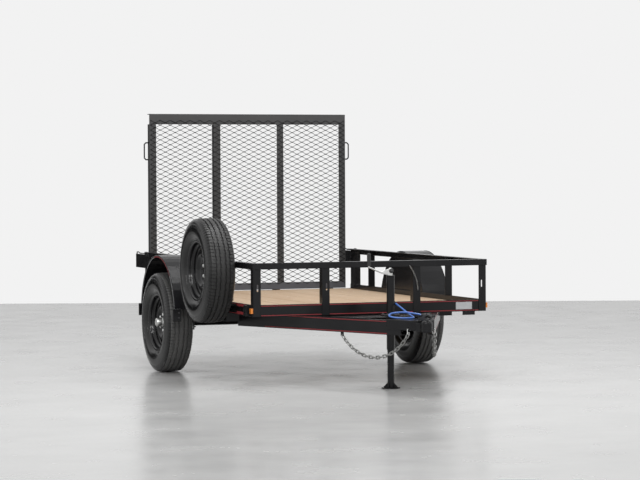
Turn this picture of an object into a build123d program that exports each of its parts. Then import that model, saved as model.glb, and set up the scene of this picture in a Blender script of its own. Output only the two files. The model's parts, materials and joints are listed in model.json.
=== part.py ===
from build123d import *
import math
import os

# Single-axle utility trailer with a mesh ramp gate, side-mounted spare and A-frame tongue.
# Millimetres. +X is the right side seen from the front, +Y points rearwards, +Z is up.
# Z = 0 is the ground. Distances called *_back are measured rearwards from the frame's front face.

# ---- driving dimensions -------------------------------------------------------------
tongue_reach = 943.0      # coupler nose ahead of the frame
guard_reach = 2643.0      # rear end of the side guards behind the frame's front face
front_y = (tongue_reach - guard_reach) / 2   # Y of the frame's front face

frame_half = 808.0        # outer face of the side rails
frame_length = 2438.0
frame_bottom = 457.0
frame_height = 76.0
frame_top = frame_bottom + frame_height
frame_leg = 51.0          # width of the rails' lower leg
steel = 5.0               # wall of all rolled angle
deck_thick = 38.0
deck_under = frame_bottom + steel
deck_top = deck_under + deck_thick

rail_top = 800.0          # top of the bed's upper rail
rail_leg = 40.0
post_leg = 51.0
post_half = frame_half + steel

gate_half = 770.0
gate_back = frame_length + 10.0   # bed-side face of the gate's angle frame
gate_bottom = 503.0
gate_top = 1814.0
gate_leg = 51.0
gate_bar_leg = 76.0
hinge_back = frame_length + 18.0
hinge_z = 487.0

axle_back = 1490.0
tyre_radius = 344.0
tyre_width = 202.0
wheel_x = 935.0           # wheel centre plane
rim_radius = 203.0        # over the flanges
rim_half = 77.0
spare_x = 938.0
spare_back = 564.0
spare_z = 737.0

fender_back = 1460.0
fender_radius = 405.0
fender_z = 404.0
fender_outer = 1008.0
fender_sheet = 2.5

tongue_turn = 25.0        # half the angle of the A-frame
tongue_height = 90.0
tongue_flange = 38.0
jack_back = -326.0


def at(back):
    """Y of a point a given distance behind the frame's front face."""
    return front_y + back


def across(back):
    """Plane facing forwards: local x is X and local y is Z. Extruding by -d goes rearwards."""
    return Plane.XZ.offset(-at(back))


def lengthwise(x):
    """Plane facing +X: local x is Y and local y is Z."""
    return Plane.YZ.offset(x)


def angle_section(u, v, leg_u, leg_v, wall=steel):
    """L-section with its heel at (u, v) and signed leg lengths."""
    wall_u = math.copysign(wall, leg_u)
    wall_v = math.copysign(wall, leg_v)
    with BuildSketch() as section:
        with BuildLine():
            Polyline(
                (u, v),
                (u + leg_u, v),
                (u + leg_u, v + wall_v),
                (u + wall_u, v + wall_v),
                (u + wall_u, v + leg_v),
                (u, v + leg_v),
                close=True,
            )
        make_face()
    return section.sketch


def circumradius(radius, sides):
    """Corner radius of the regular polygon whose flats touch a circle."""
    return radius / math.cos(math.pi / sides)


def turned(corners, plane, sides):
    """Body turned round the plane's normal in flats that touch the true round form.

    The corners go once round its half section, each as distance along the normal and radius.
    """
    rings = []
    for along, radius in corners:
        reach = circumradius(radius, sides)
        turns = [2 * math.pi * (step + 0.5) / sides for step in range(sides if radius else 1)]
        points = [Vector(reach * math.cos(turn), reach * math.sin(turn), along) for turn in turns]
        rings.append([plane.from_local_coords(point) for point in points])
    flats = []
    for ring, after in zip(rings, rings[1:] + rings[:1]):
        for step in range(sides):
            near = [ring[index % len(ring)] for index in (step, (step + 1) % sides)]
            far = [after[index % len(after)] for index in ((step + 1) % sides, step)]
            outline = near[:len(ring)] + far[:len(after)]
            if len(outline) > 2:
                flats.append(Face(Wire.make_polygon(outline)))
    return Solid(Shell(flats))


def save(builder, name):
    """Label a finished sub-part and write it as its own STEP file."""
    builder.part.label = name
    export_step(builder.part, f"parts/{name}.step")


os.makedirs("parts", exist_ok=True)
sides = {"left": -1, "right": 1}

# ---- main frame ---------------------------------------------------------------------
with BuildPart() as frame_side_rails:
    with BuildSketch(across(steel)):
        for side in sides.values():
            add(angle_section(side * frame_half, frame_bottom, -side * frame_leg, frame_height))
    extrude(amount=-(frame_length - 2 * steel))
save(frame_side_rails, "frame_side_rails")

with BuildPart() as frame_end_rails:
    with BuildSketch(lengthwise(-frame_half)):
        add(angle_section(at(0), frame_bottom, frame_leg, frame_height))
        # the rear rail sits lower, flush with the deck, and its lower leg points forwards
        add(angle_section(at(frame_length), deck_top - frame_height, -frame_leg, frame_height))
    extrude(amount=2 * frame_half)
    # the front rail's lower leg is notched at both ends to clear the side rails
    with Locations(*[(s * frame_half, at(steel + frame_leg / 2), frame_bottom) for s in sides.values()]):
        Box(2 * frame_leg, frame_leg, 4 * steel, mode=Mode.SUBTRACT)
save(frame_end_rails, "frame_end_rails")

cross_backs = [600.0, 1060.0, 1520.0, 1980.0]
cross_leg = 46.0
cross_half = frame_half - frame_leg
with BuildPart() as cross_members:
    with BuildSketch(lengthwise(-cross_half)):
        for back in cross_backs:
            add(angle_section(at(back), deck_under, cross_leg, -cross_leg))
    extrude(amount=2 * cross_half)
save(cross_members, "cross_members")

board_count = 8
board_gap = 6.0
board_room = 2 * (frame_half - steel) - 2 * board_gap
board_pitch = (board_room + board_gap) / board_count
with BuildPart() as deck_boards:
    with Locations((0, at(frame_length / 2), deck_under)):
        with GridLocations(board_pitch, 1, board_count, 1):
            Box(
                board_pitch - board_gap,
                frame_length - 2 * steel,
                deck_thick,
                align=(Align.CENTER, Align.CENTER, Align.MIN),
            )
save(deck_boards, "deck_boards")

# ---- bed posts and upper rail ---------------------------------------------------------
post_top = rail_top - steel
slot_z = 640.0            # height of the tie slot in each front post
slot_long = 46.0
slot_wide = 12.0
slot_corner = 3.5

middle_post_x = 318.0
slot_x = [-post_half + post_leg / 2 + 4, -middle_post_x + 6, middle_post_x + 6, post_half - post_leg / 2 - 4]
with BuildPart() as front_posts:
    # corner posts reach down over the frame
    with BuildSketch(Plane.XY.offset(frame_bottom)):
        for side in sides.values():
            add(angle_section(side * post_half, at(-steel), -side * post_leg, post_leg))
    extrude(amount=post_top - frame_bottom)
    # middle posts are a plain flat below the frame's top
    with BuildSketch(Plane.XY.offset(frame_bottom)):
        with Locations(*[(s * middle_post_x, at(-steel / 2)) for s in sides.values()]):
            Rectangle(post_leg, steel)
    extrude(amount=post_top - frame_bottom)
    with BuildSketch(Plane.XY.offset(frame_top)):
        for side in sides.values():
            add(angle_section(side * middle_post_x - post_leg / 2, at(-steel), post_leg, post_leg))
    extrude(amount=post_top - frame_top)
    with BuildSketch(across(-3 * steel)) as slots:
        with Locations(*[(x, slot_z) for x in slot_x]):
            Rectangle(slot_wide, slot_long)
        chamfer(slots.vertices(), length=slot_corner)
    extrude(amount=-3 * steel, mode=Mode.SUBTRACT)
save(front_posts, "front_posts")

side_post_backs = [548.0, 1960.0]
rear_plate_front = 2250.0
rear_plate_wide = frame_length - rear_plate_front
with BuildPart() as side_posts:
    for side in sides.values():
        for back in side_post_backs:
            with BuildSketch(Plane.XY.offset(frame_bottom)):
                with Locations((side * (post_half - steel / 2), at(back + post_leg / 2))):
                    Rectangle(steel, post_leg)
            extrude(amount=post_top - frame_bottom)
            with BuildSketch(Plane.XY.offset(frame_top)):
                add(angle_section(side * post_half, at(back), -side * post_leg, post_leg))
            extrude(amount=post_top - frame_top)
        # a wide flat plate closes the rear corner
        with BuildSketch(Plane.XY.offset(frame_bottom)):
            with Locations((side * (post_half - steel / 2), at(rear_plate_front + rear_plate_wide / 2))):
                Rectangle(steel, rear_plate_wide)
        extrude(amount=post_top - frame_bottom)
save(side_posts, "side_posts")

rail_front_back = -2 * steel    # the upper rail wraps the outside of the posts
rail_half = post_half + steel
with BuildPart() as top_rail_front:
    with BuildSketch(lengthwise(-post_half)):
        add(angle_section(at(rail_front_back), rail_top, rail_leg, -rail_leg))
    extrude(amount=2 * post_half)
    # the upper leg is notched at both ends to clear the side rails
    notch_y = at(rail_front_back + steel + rail_leg / 2)
    with Locations(*[(s * rail_half, notch_y, rail_top) for s in sides.values()]):
        Box(2 * rail_leg, rail_leg, 4 * steel, mode=Mode.SUBTRACT)
save(top_rail_front, "top_rail_front")

for name, side in sides.items():
    with BuildPart() as top_rail:
        with BuildSketch(across(rail_front_back)):
            add(angle_section(side * rail_half, rail_top, -side * rail_leg, -rail_leg))
        extrude(amount=-(frame_length - rail_front_back))
        # the upper leg is mitred square so that the front rail's face stays flush
        with Locations((side * (post_half - rail_leg), at(rail_front_back), rail_top)):
            Box(2 * rail_leg, 2 * steel, 4 * steel, mode=Mode.SUBTRACT)
    save(top_rail, f"top_rail_{name}")

guard_front = 2295.0
guard_height = 100.0
guard_drop = 17.0
with BuildPart() as gate_guards:
    for side in sides.values():
        with BuildSketch(lengthwise(side * rail_half)):
            with Locations((at((guard_front + guard_reach) / 2), rail_top - guard_drop - guard_height / 2)):
                Rectangle(guard_reach - guard_front, guard_height)
        extrude(amount=side * steel)
save(gate_guards, "gate_guards")

# ---- tongue ---------------------------------------------------------------------------
tongue_nose_back = -760.0
tongue_nose_x = 112.0
tongue_tail_back = 560.0
tongue_top = frame_bottom
tongue_length = (tongue_tail_back - tongue_nose_back) / math.cos(math.radians(tongue_turn))
anchor_back = -300.0
beam_bottom = tongue_top - tongue_height
anchor_z = beam_bottom - 17
lug_radius = 11.0
lug_hole = 6.0
lug_thick = 6.0
small_sides = 8           # flats on bores and rods of a finger's size
round_sides = 16          # flats on tubes and pins


def tongue_edge(back):
    """X of the beams' outer face at a given distance behind the frame's front."""
    return tongue_nose_x + (back - tongue_nose_back) * math.tan(math.radians(tongue_turn))


def beside(side, back, out, z):
    """Plane parallel to a beam's outer face, standing off it by out; local y is up."""
    turn = math.radians(tongue_turn)
    outward = Vector(side * math.cos(turn), -math.sin(turn), 0)
    foot = Vector(side * tongue_edge(back), at(back), z) + outward * out
    return Plane(origin=foot, x_dir=outward.rotate(Axis.Z, 90), z_dir=outward)


with BuildPart() as tongue_beams:
    for side in sides.values():
        start = Plane(
            origin=(side * tongue_nose_x, at(tongue_nose_back), tongue_top),
            x_dir=(side * math.cos(math.radians(tongue_turn)), -math.sin(math.radians(tongue_turn)), 0),
            z_dir=(side * math.sin(math.radians(tongue_turn)), math.cos(math.radians(tongue_turn)), 0),
        )
        with BuildSketch(start):
            with BuildLine():
                Polyline(
                    (0, 0),
                    (-tongue_flange, 0),
                    (-tongue_flange, side * steel),
                    (-steel, side * steel),
                    (-steel, side * (tongue_height - steel)),
                    (-tongue_flange, side * (tongue_height - steel)),
                    (-tongue_flange, side * tongue_height),
                    (0, side * tongue_height),
                    close=True,
                )
            make_face()
        extrude(amount=tongue_length)
        # lug that the safety chain hangs from
        lug_face = beside(side, anchor_back, -steel, anchor_z)
        with BuildSketch(lug_face):
            RegularPolygon(lug_radius, round_sides)
            Rectangle(2 * lug_radius, beam_bottom - anchor_z + 1, align=(Align.CENTER, Align.MIN))
            RegularPolygon(circumradius(lug_hole, small_sides), small_sides, mode=Mode.SUBTRACT)
        extrude(amount=-lug_thick)
save(tongue_beams, "tongue_beams")

jack_tube_radius = 25.5
jack_leg_radius = 22.0
jack_plate_front = -430.0
jack_plate_rear = -215.0
jack_plate_thick = 6.0

with BuildPart() as jack_plate:
    with BuildSketch(Plane.XY.offset(tongue_top)):
        with BuildLine():
            Polyline(
                (-tongue_edge(jack_plate_front), at(jack_plate_front)),
                (tongue_edge(jack_plate_front), at(jack_plate_front)),
                (tongue_edge(jack_plate_rear), at(jack_plate_rear)),
                (-tongue_edge(jack_plate_rear), at(jack_plate_rear)),
                close=True,
            )
        make_face()
        with Locations((0, at(jack_back))):
            RegularPolygon(circumradius(jack_tube_radius + 1, round_sides), round_sides, mode=Mode.SUBTRACT)
    extrude(amount=jack_plate_thick)
save(jack_plate, "jack_plate")

# ---- coupler --------------------------------------------------------------------------
ball_back = -908.0
ball_z = 428.0
ball_radius = 25.4
socket_play = 0.8
socket_sides = 24
coupler_top = 465.0
coupler_bottom = 401.0
coupler_rear_back = -657.0
coupler_neck_back = -835.0   # front end of the side plates
neck_back = -862.0
neck_half = 48.0
neck_wall = 8.0
nose_top = 450.0
nose_bottom = 395.0
nose_radius = tongue_reach + ball_back
slope_wall = steel / math.cos(math.radians(tongue_turn))
hook_hole_back = -820.0
hook_hole_z = 413.0
hook_hole_radius = 7.0
socket_radius = ball_radius + socket_play
socket_slope = socket_radius * math.tan(math.radians(22.5))
socket_section = [   # height over the ball's centre, radius
    (nose_bottom - ball_z - 1, 0.0),
    (nose_bottom - ball_z - 1, socket_radius),
    (socket_slope, socket_radius),
    (socket_radius, socket_slope),
    (socket_radius, 0.0),
]
dome_section = [   # height over the ball's centre, radius
    (nose_top - ball_z - 2, 0.0),
    (nose_top - ball_z - 2, nose_radius),
    (nose_top - ball_z, nose_radius),
    (nose_top - ball_z + 12, nose_radius - 8),
    (nose_top - ball_z + 18, nose_radius - 20),
    (nose_top - ball_z + 18, 0.0),
]
with BuildPart() as coupler:
    with BuildSketch(Plane.XY.offset(coupler_bottom)):
        with BuildLine():
            Polyline(
                (-tongue_edge(coupler_rear_back) - slope_wall, at(coupler_rear_back)),
                (tongue_edge(coupler_rear_back) + slope_wall, at(coupler_rear_back)),
                (tongue_edge(coupler_neck_back) + slope_wall, at(coupler_neck_back)),
                (neck_half, at(neck_back)),
                (-neck_half, at(neck_back)),
                (-tongue_edge(coupler_neck_back) - slope_wall, at(coupler_neck_back)),
                close=True,
            )
        make_face()
    extrude(amount=coupler_top - coupler_bottom)
    chamfer(coupler.edges().group_by(Axis.Z)[-1], length=4)
    # neck and nose that carry the socket, with a dome over the ball
    with BuildSketch(Plane.XY.offset(nose_bottom)):
        with BuildLine():
            Polyline(
                (-neck_half, at(neck_back)),
                (neck_half, at(neck_back)),
                (nose_radius, at(ball_back + nose_radius / 2)),
                (nose_radius, at(ball_back)),
                (-nose_radius, at(ball_back)),
                (-nose_radius, at(ball_back + nose_radius / 2)),
                close=True,
            )
        make_face()
        with Locations((0, at(ball_back))):
            RegularPolygon(circumradius(nose_radius, socket_sides), socket_sides, rotation=180 / socket_sides)
    extrude(amount=nose_top - nose_bottom)
    add(turned(dome_section, Plane(origin=(0, at(ball_back), ball_z)), socket_sides))
    # hollow underneath, open to the rear where the beams enter
    with BuildSketch(Plane.XY.offset(coupler_bottom - 1)):
        with BuildLine():
            Polyline(
                (-tongue_edge(coupler_rear_back + 40), at(coupler_rear_back + 40)),
                (tongue_edge(coupler_rear_back + 40), at(coupler_rear_back + 40)),
                (tongue_edge(coupler_neck_back + 5), at(coupler_neck_back + 5)),
                (neck_half - neck_wall, at(neck_back + neck_wall)),
                (neck_wall - neck_half, at(neck_back + neck_wall)),
                (-tongue_edge(coupler_neck_back + 5), at(coupler_neck_back + 5)),
                close=True,
            )
        make_face()
    extrude(amount=tongue_top - coupler_bottom + 1, mode=Mode.SUBTRACT)
    # socket for the ball: straight below, with one slope up to its flat crown
    add(turned(socket_section, Plane(origin=(0, at(ball_back), ball_z)), socket_sides), mode=Mode.SUBTRACT)
    # the safety chains' hooks hang in a hole in each skirt
    for side in sides.values():
        with BuildSketch(beside(side, hook_hole_back, 20, hook_hole_z)):
            RegularPolygon(circumradius(hook_hole_radius, small_sides), small_sides)
        extrude(amount=-40, mode=Mode.SUBTRACT)
save(coupler, "coupler")

latch_half = 9.0
latch_outline = [   # distance back, height over the coupler's top: a lever that rises forwards
    (-925.0, 1.0),
    (-800.0, 0.0),
    (-795.0, 10.0),
    (-850.0, 22.0),
    (-936.0, 48.0),
    (-941.0, 38.0),
    (-893.0, 20.0),
    (-925.0, 14.0),
]
with BuildPart() as coupler_latch:
    with BuildSketch(lengthwise(-latch_half)):
        with BuildLine():
            Polyline(*[(at(back), coupler_top + rise) for back, rise in latch_outline], close=True)
        make_face()
    extrude(amount=2 * latch_half)
    # cut back round the dome
    add(turned(dome_section, Plane(origin=(0, at(ball_back), ball_z)), socket_sides), mode=Mode.SUBTRACT)
save(coupler_latch, "coupler_latch")

# ---- safety chains ----------------------------------------------------------------------
chain_sag = 145.0
link_count = 22
link_wire = 7.0
link_half_wide = 5.0      # inside
link_play = 1.2           # slack where one link hangs in the next
link_seat = 0.4           # gap between the first link and its lug
hook_wire = 5.2
hook_drop = 34.0          # hook's hole in the skirt to the bar that carries the chain
hook_path = [   # distance outwards from the skirt's inner face, height over the hole's centre
    (-15.0, -14.0),
    (-15.0, -2.5),
    (10.0, -2.5),
    (10.0, -hook_drop),
    (-6.0, -hook_drop),
    (-6.0, -hook_drop + 12),
]


def link(inner_long):
    """Outline of one link, flat: a long ring with chamfered corners."""
    with BuildSketch() as shape:
        Rectangle(inner_long + 2 * link_wire, 2 * (link_half_wide + link_wire))
        chamfer(shape.vertices(), length=link_wire)
        Rectangle(inner_long, 2 * link_half_wide, mode=Mode.SUBTRACT)
    return shape.sketch


for name, side in sides.items():
    outward = beside(side, anchor_back, 0, anchor_z).z_dir
    anchor = beside(side, anchor_back, -steel - lug_thick / 2, anchor_z).origin
    hanger = beside(side, hook_hole_back, 2, hook_hole_z - hook_drop).origin
    with BuildLine(mode=Mode.PRIVATE):
        hang = ThreePointArc(anchor, (anchor + hanger) / 2 - Vector(0, 0, chain_sag), hanger)
    pitch = (hang.length - link_play) / link_count
    first = (pitch + link_play) / 2 + link_wire / 2 + link_seat
    with BuildPart() as safety_chain:
        for index in range(link_count):
            share = (first + index * pitch) / hang.length
            along = hang.tangent_at(share)
            normal = outward if index % 2 else along.cross(outward)
            with BuildSketch(Plane(origin=hang.position_at(share), x_dir=along, z_dir=normal)):
                add(link(pitch + link_play))
            extrude(amount=link_wire / 2, both=True)
    save(safety_chain, f"safety_chain_{name}")

with BuildPart() as chain_hooks:
    for side in sides.values():
        outward = beside(side, hook_hole_back, 0, hook_hole_z).z_dir
        hole = beside(side, hook_hole_back, 0, hook_hole_z).origin
        bends = [hole + outward * out + Vector(0, 0, up) for out, up in hook_path]
        with BuildLine():
            Polyline(*bends)
        with BuildSketch(Plane(origin=bends[0], x_dir=outward, z_dir=(0, 0, 1))):
            Rectangle(hook_wire, hook_wire)
        sweep(transition=Transition.RIGHT)
save(chain_hooks, "chain_hooks")

# ---- jack -----------------------------------------------------------------------------
jack_tube_bottom = 248.0
jack_tube_top = 715.0
jack_flange_radius = 62.0
jack_flange_thick = 8.0
jack_flange_z = tongue_top + jack_plate_thick
leg_play = 0.8
leg_top = 510.0
foot_radius = 60.0
foot_thick = 6.0
jack_y = at(jack_back)

cord_radius = 5.5
cord_sides = 6
gland_radius = 9.0
gland_long = 24.0
plug_radius = 12.0
plug_neck = 7.5
plug_taper = 20.0
plug_long = 66.0
cord_points = [   # X, distance back, Z
    (32.0, -338.0, 540.0),
    (33.0, -420.0, 519.0),
    (30.0, -505.0, 499.0),
    (27.0, -588.0, 481.5),
    (22.0, -660.0, 471.0),
    (-6.0, -706.0, 470.8),
    (-62.0, -708.0, 470.8),
    (-118.0, -694.0, 473.0),
    (-148.0, -652.0, 482.0),
    (-120.0, -607.0, 495.0),
    (-62.0, -597.0, 501.0),
    (-6.0, -614.0, 501.0),
    (30.0, -652.0, 494.0),
    (62.0, -680.0, 487.5),
]
cord_route = [Vector(x, at(back), z) for x, back, z in cord_points]

with BuildPart() as jack_tube:
    with BuildSketch(Plane.XY.offset(jack_tube_bottom)):
        with Locations((0, jack_y)):
            RegularPolygon(circumradius(jack_tube_radius, round_sides), round_sides)
            RegularPolygon(circumradius(jack_leg_radius + leg_play, round_sides), round_sides, mode=Mode.SUBTRACT)
    extrude(amount=jack_tube_top - jack_tube_bottom - 4)
    with BuildSketch(Plane.XY.offset(jack_tube_top - 4)):
        with Locations((0, jack_y)):
            RegularPolygon(circumradius(jack_tube_radius + 1.5, round_sides), round_sides)
    extrude(amount=10)
    # welded mounting flange
    with BuildSketch(Plane.XY.offset(jack_flange_z)):
        with Locations((0, jack_y)):
            RegularPolygon(jack_flange_radius, 2 * round_sides)
            RegularPolygon(jack_tube_radius - 1, round_sides, mode=Mode.SUBTRACT)
    extrude(amount=jack_flange_thick)
    # gland that the wiring lead comes out of
    with BuildSketch(Plane(origin=cord_route[0], z_dir=cord_route[1] - cord_route[0])):
        RegularPolygon(gland_radius, round_sides)
    extrude(amount=-gland_long)
save(jack_tube, "jack_tube")

# the lead drops to the coupler, loops over to the left and comes back to its plug
cord_legs = list(zip(cord_route, cord_route[1:]))
cord_bends = []
for before, after in zip(cord_legs, cord_legs[1:]):
    into = before[1] - before[0]
    away = after[1] - after[0]
    half_turn = math.radians(into.get_angle(away) / 2)
    cord_bends.append(0.45 * min(into.length, away.length) / math.tan(half_turn))
with BuildPart() as wiring_cord:
    with BuildLine() as cord_line:
        FilletPolyline(*cord_route, radius=cord_bends)
    with BuildSketch(Plane(origin=cord_route[0], z_dir=cord_route[1] - cord_route[0])) as cord_section:
        RegularPolygon(cord_radius, cord_sides)
    sweep()
save(wiring_cord, "wiring_cord")
cord_length = cord_line.wires()[0].length
print("cord length", round(cord_length), "radii", [round(radius) for radius in cord_bends])
cord_swept = cord_length * cord_section.sketch.area
print("cord volume over section times length", round(wiring_cord.part.volume / cord_swept, 4))

plug_start = Plane(origin=cord_route[-1], z_dir=cord_route[-1] - cord_route[-2])
plug_section = [   # distance from the lead's end, radius: a strain relief, then the body
    (0.0, 0.0),
    (0.0, plug_neck),
    (plug_taper, plug_radius),
    (plug_long, plug_radius),
    (plug_long, 0.0),
]
with BuildPart() as wiring_plug:
    add(turned(plug_section, plug_start, round_sides))
save(wiring_plug, "wiring_plug")

with BuildPart() as jack_leg:
    with BuildSketch(Plane.XY.offset(foot_thick)):
        with Locations((0, jack_y)):
            RegularPolygon(jack_leg_radius, round_sides, rotation=180 / round_sides)
            RegularPolygon(jack_leg_radius - 4, round_sides, rotation=180 / round_sides, mode=Mode.SUBTRACT)
    extrude(amount=leg_top - foot_thick)
save(jack_leg, "jack_leg")

with BuildPart() as jack_foot:
    with BuildSketch():
        with Locations((0, jack_y)):
            RegularPolygon(foot_radius, 2 * round_sides)
    extrude(amount=foot_thick)
    for turn in range(4):
        outwards = Vector(1, 0, 0).rotate(Axis.Z, 45 + 90 * turn)
        with BuildSketch(Plane(origin=(0, jack_y, foot_thick), x_dir=outwards, z_dir=outwards.cross(Vector(0, 0, 1)))):
            with BuildLine():
                Polyline(
                    (jack_leg_radius + 0.3, 0),
                    (foot_radius - 8, 0),
                    (jack_leg_radius + 0.3, 30),
                    close=True,
                )
            make_face()
        extrude(amount=2, both=True)
save(jack_foot, "jack_foot")

jack_cap_top = jack_tube_top + 6
crank_boss = 14.0
crank_thick = 10.0
crank_outline = [   # X, height over the tube's cap: a standing plate, then the arm rising to the grip
    (9.0, 3.0),
    (9.0, 46.0),
    (-3.0, 49.0),
    (-60.0, 25.0),
    (-142.0, 61.0),
    (-154.0, 61.0),
    (-154.0, 48.0),
    (-66.0, 9.0),
    (-24.0, 3.0),
]
grip_x = -147.0
grip_z = jack_cap_top + 61
grip_radius = 12.5
grip_long = 80.0
with BuildPart() as jack_crank:
    with BuildSketch(Plane.XY.offset(jack_cap_top)):
        with Locations((0, jack_y)):
            RegularPolygon(crank_boss, round_sides)
    extrude(amount=5)
    with BuildSketch(Plane.XZ.offset(-jack_y - crank_thick / 2)):
        with BuildLine():
            Polyline(*[(x, jack_cap_top + rise) for x, rise in crank_outline], close=True)
        make_face()
    extrude(amount=crank_thick)
save(jack_crank, "jack_crank")

with BuildPart() as crank_grip:
    with BuildSketch(Plane.XY.offset(grip_z)):
        with Locations((grip_x, jack_y)):
            RegularPolygon(grip_radius, round_sides)
    extrude(amount=grip_long)
    chamfer(crank_grip.faces().sort_by(Axis.Z)[-1].edges(), length=4)
save(crank_grip, "crank_grip")

# ---- axle and springs -----------------------------------------------------------------
axle_y = at(axle_back)
axle_z = tyre_radius
axle_radius = 30.0
axle_half = 845.0
spindle_radius = 16.0
spindle_tip = wheel_x + 35
spring_x = frame_half - frame_leg / 2
spring_wide = 44.0
spring_half = 320.0       # axle centre to each spring eye, lengthwise
spring_seat_z = axle_z + axle_radius + 6
eye_z = 424.0
eye_radius = 15.0
leaf_thick = 7.0

with BuildPart() as axle:
    with BuildSketch(lengthwise(-axle_half)):
        with Locations((axle_y, axle_z)):
            RegularPolygon(circumradius(axle_radius, round_sides), round_sides, rotation=180 / round_sides)
    extrude(amount=2 * axle_half)
    with BuildSketch(lengthwise(-spindle_tip)):
        with Locations((axle_y, axle_z)):
            RegularPolygon(spindle_radius, round_sides)
    extrude(amount=2 * spindle_tip)
    # welded seats under the springs
    for side in sides.values():
        with BuildSketch(lengthwise(side * spring_x - spring_wide / 2)):
            with Locations((axle_y, spring_seat_z - 12)):
                Rectangle(60, 24)
        extrude(amount=spring_wide)
save(axle, "axle")


def leaf(half, drop, thick):
    """One leaf seen from the side: an arc sagging by drop, its upper face touching the leaf above."""
    base = spring_seat_z
    with BuildSketch() as shape:
        with BuildLine():
            ThreePointArc((-half, base + drop + thick), (0, base + thick), (half, base + drop + thick))
            Line((half, base + drop + thick), (half, base + drop))
            ThreePointArc((half, base + drop), (0, base), (-half, base + drop))
            Line((-half, base + drop), (-half, base + drop + thick))
        make_face()
    return shape.sketch.locate(Location((axle_y, 0)))


leaf_table = [   # half length, rise of the tip, height of the leaf's underside above the seat
    (150.0, 5.0, 0.0),
    (230.0, 12.0, 7.0),
    (spring_half - 8, eye_z - spring_seat_z - 14 - leaf_thick / 2, 14.0),
]
with BuildPart() as leaf_springs:
    for side in sides.values():
        for half, rise, lift in leaf_table:
            with BuildSketch(lengthwise(side * spring_x - spring_wide / 2)):
                add(leaf(half, rise, leaf_thick).moved(Location((0, lift))))
            extrude(amount=spring_wide)
        with BuildSketch(lengthwise(side * spring_x - spring_wide / 2)):
            with Locations((axle_y - spring_half, eye_z), (axle_y + spring_half, eye_z)):
                RegularPolygon(eye_radius, small_sides)
        extrude(amount=spring_wide)
save(leaf_springs, "leaf_springs")

hanger_wide = spring_wide + 14
with BuildPart() as spring_hangers:
    for side in sides.values():
        for lean, y in ((14, axle_y - spring_half), (-22, axle_y + spring_half)):
            for cheek in (-1, 1):
                with BuildSketch(lengthwise(side * spring_x + cheek * (spring_wide / 2 + 1) - 2.5 + cheek * 2.5)):
                    with BuildLine():
                        Polyline(
                            (y - 34 + lean, frame_bottom),
                            (y + 34 + lean, frame_bottom),
                            (y + 17, eye_z - 14),
                            (y - 17, eye_z - 14),
                            close=True,
                        )
                    make_face()
                extrude(amount=5)
            with BuildSketch(Plane.XY.offset(frame_bottom - 5)):
                with Locations((side * spring_x, y + lean)):
                    Rectangle(hanger_wide, 68)
            extrude(amount=5)
save(spring_hangers, "spring_hangers")

bolt_radius = 6.0
bolt_bottom = axle_z - axle_radius - 26
tie_plate_z = bolt_bottom + 16
stack_top = spring_seat_z + 3 * leaf_thick
bolt_along = axle_radius + bolt_radius + 2
bolt_across = spring_wide / 2 + bolt_radius + 1
with BuildPart() as u_bolts:
    for side in sides.values():
        with BuildSketch(Plane.XY.offset(bolt_bottom)):
            with Locations((side * spring_x, axle_y)):
                with GridLocations(2 * bolt_across, 2 * bolt_along, 2, 2):
                    RegularPolygon(bolt_radius, 8)
        extrude(amount=stack_top + 1 - bolt_bottom)
        # the bend over the spring
        for end in (-1, 1):
            with BuildSketch(Plane.XZ.offset(-(axle_y + end * bolt_along) - bolt_radius + 1)):
                with Locations((side * spring_x, stack_top + bolt_radius)):
                    Trapezoid(2 * (bolt_across + bolt_radius), 2 * bolt_radius - 2, 45)
            extrude(amount=-(2 * bolt_radius - 2))
        # the tie plate under the axle
        with Locations((side * spring_x, axle_y, tie_plate_z)):
            Box(84, 100, 8, align=(Align.CENTER, Align.CENTER, Align.MIN))
save(u_bolts, "u_bolts")

# ---- wheels ---------------------------------------------------------------------------
bead_radius = 192.0
disc_bore = 42.0
disc_face = 5.0           # outer face of the disc's middle, ahead of its seat
disc_section = [   # distance out from the wheel's centre plane, radius
    (0.0, disc_bore),
    (0.0, 84.0),
    (22.0, 106.0),
    (6.0, 150.0),
    (6.0, bead_radius - 5),
    (12.0, bead_radius - 5),
    (12.0, 153.0),
    (28.0, 107.0),
    (disc_face, 81.0),
    (disc_face, disc_bore),
]
window_count = 8
window_ring = 128.0
window_outline = [   # outwards from the window ring, sideways: wide outside and narrow inside
    (14.0, 27.0),
    (-8.0, 24.0),
    (-16.0, 15.0),
    (-16.0, -15.0),
    (-8.0, -24.0),
    (14.0, -27.0),
]
wheel_sides = 32
hub_sides = 16
stud_count = 5
stud_ring = 57.15
hub_inner = wheel_x - 62
hub_bore = spindle_radius + 0.5
cap_radius = 32.0
cap_tip = wheel_x + 62
nut_section = [   # distance from the disc's face, radius to a flat
    (0.0, 0.0),
    (0.0, 10.5),
    (20.0, 10.5),
    (24.0, 7.0),
    (24.0, 0.0),
]


def both_sides(corners):
    """The corners of one side followed by their mirror images in reverse order."""
    return corners + [(-half, radius) for half, radius in reversed(corners)]


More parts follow.
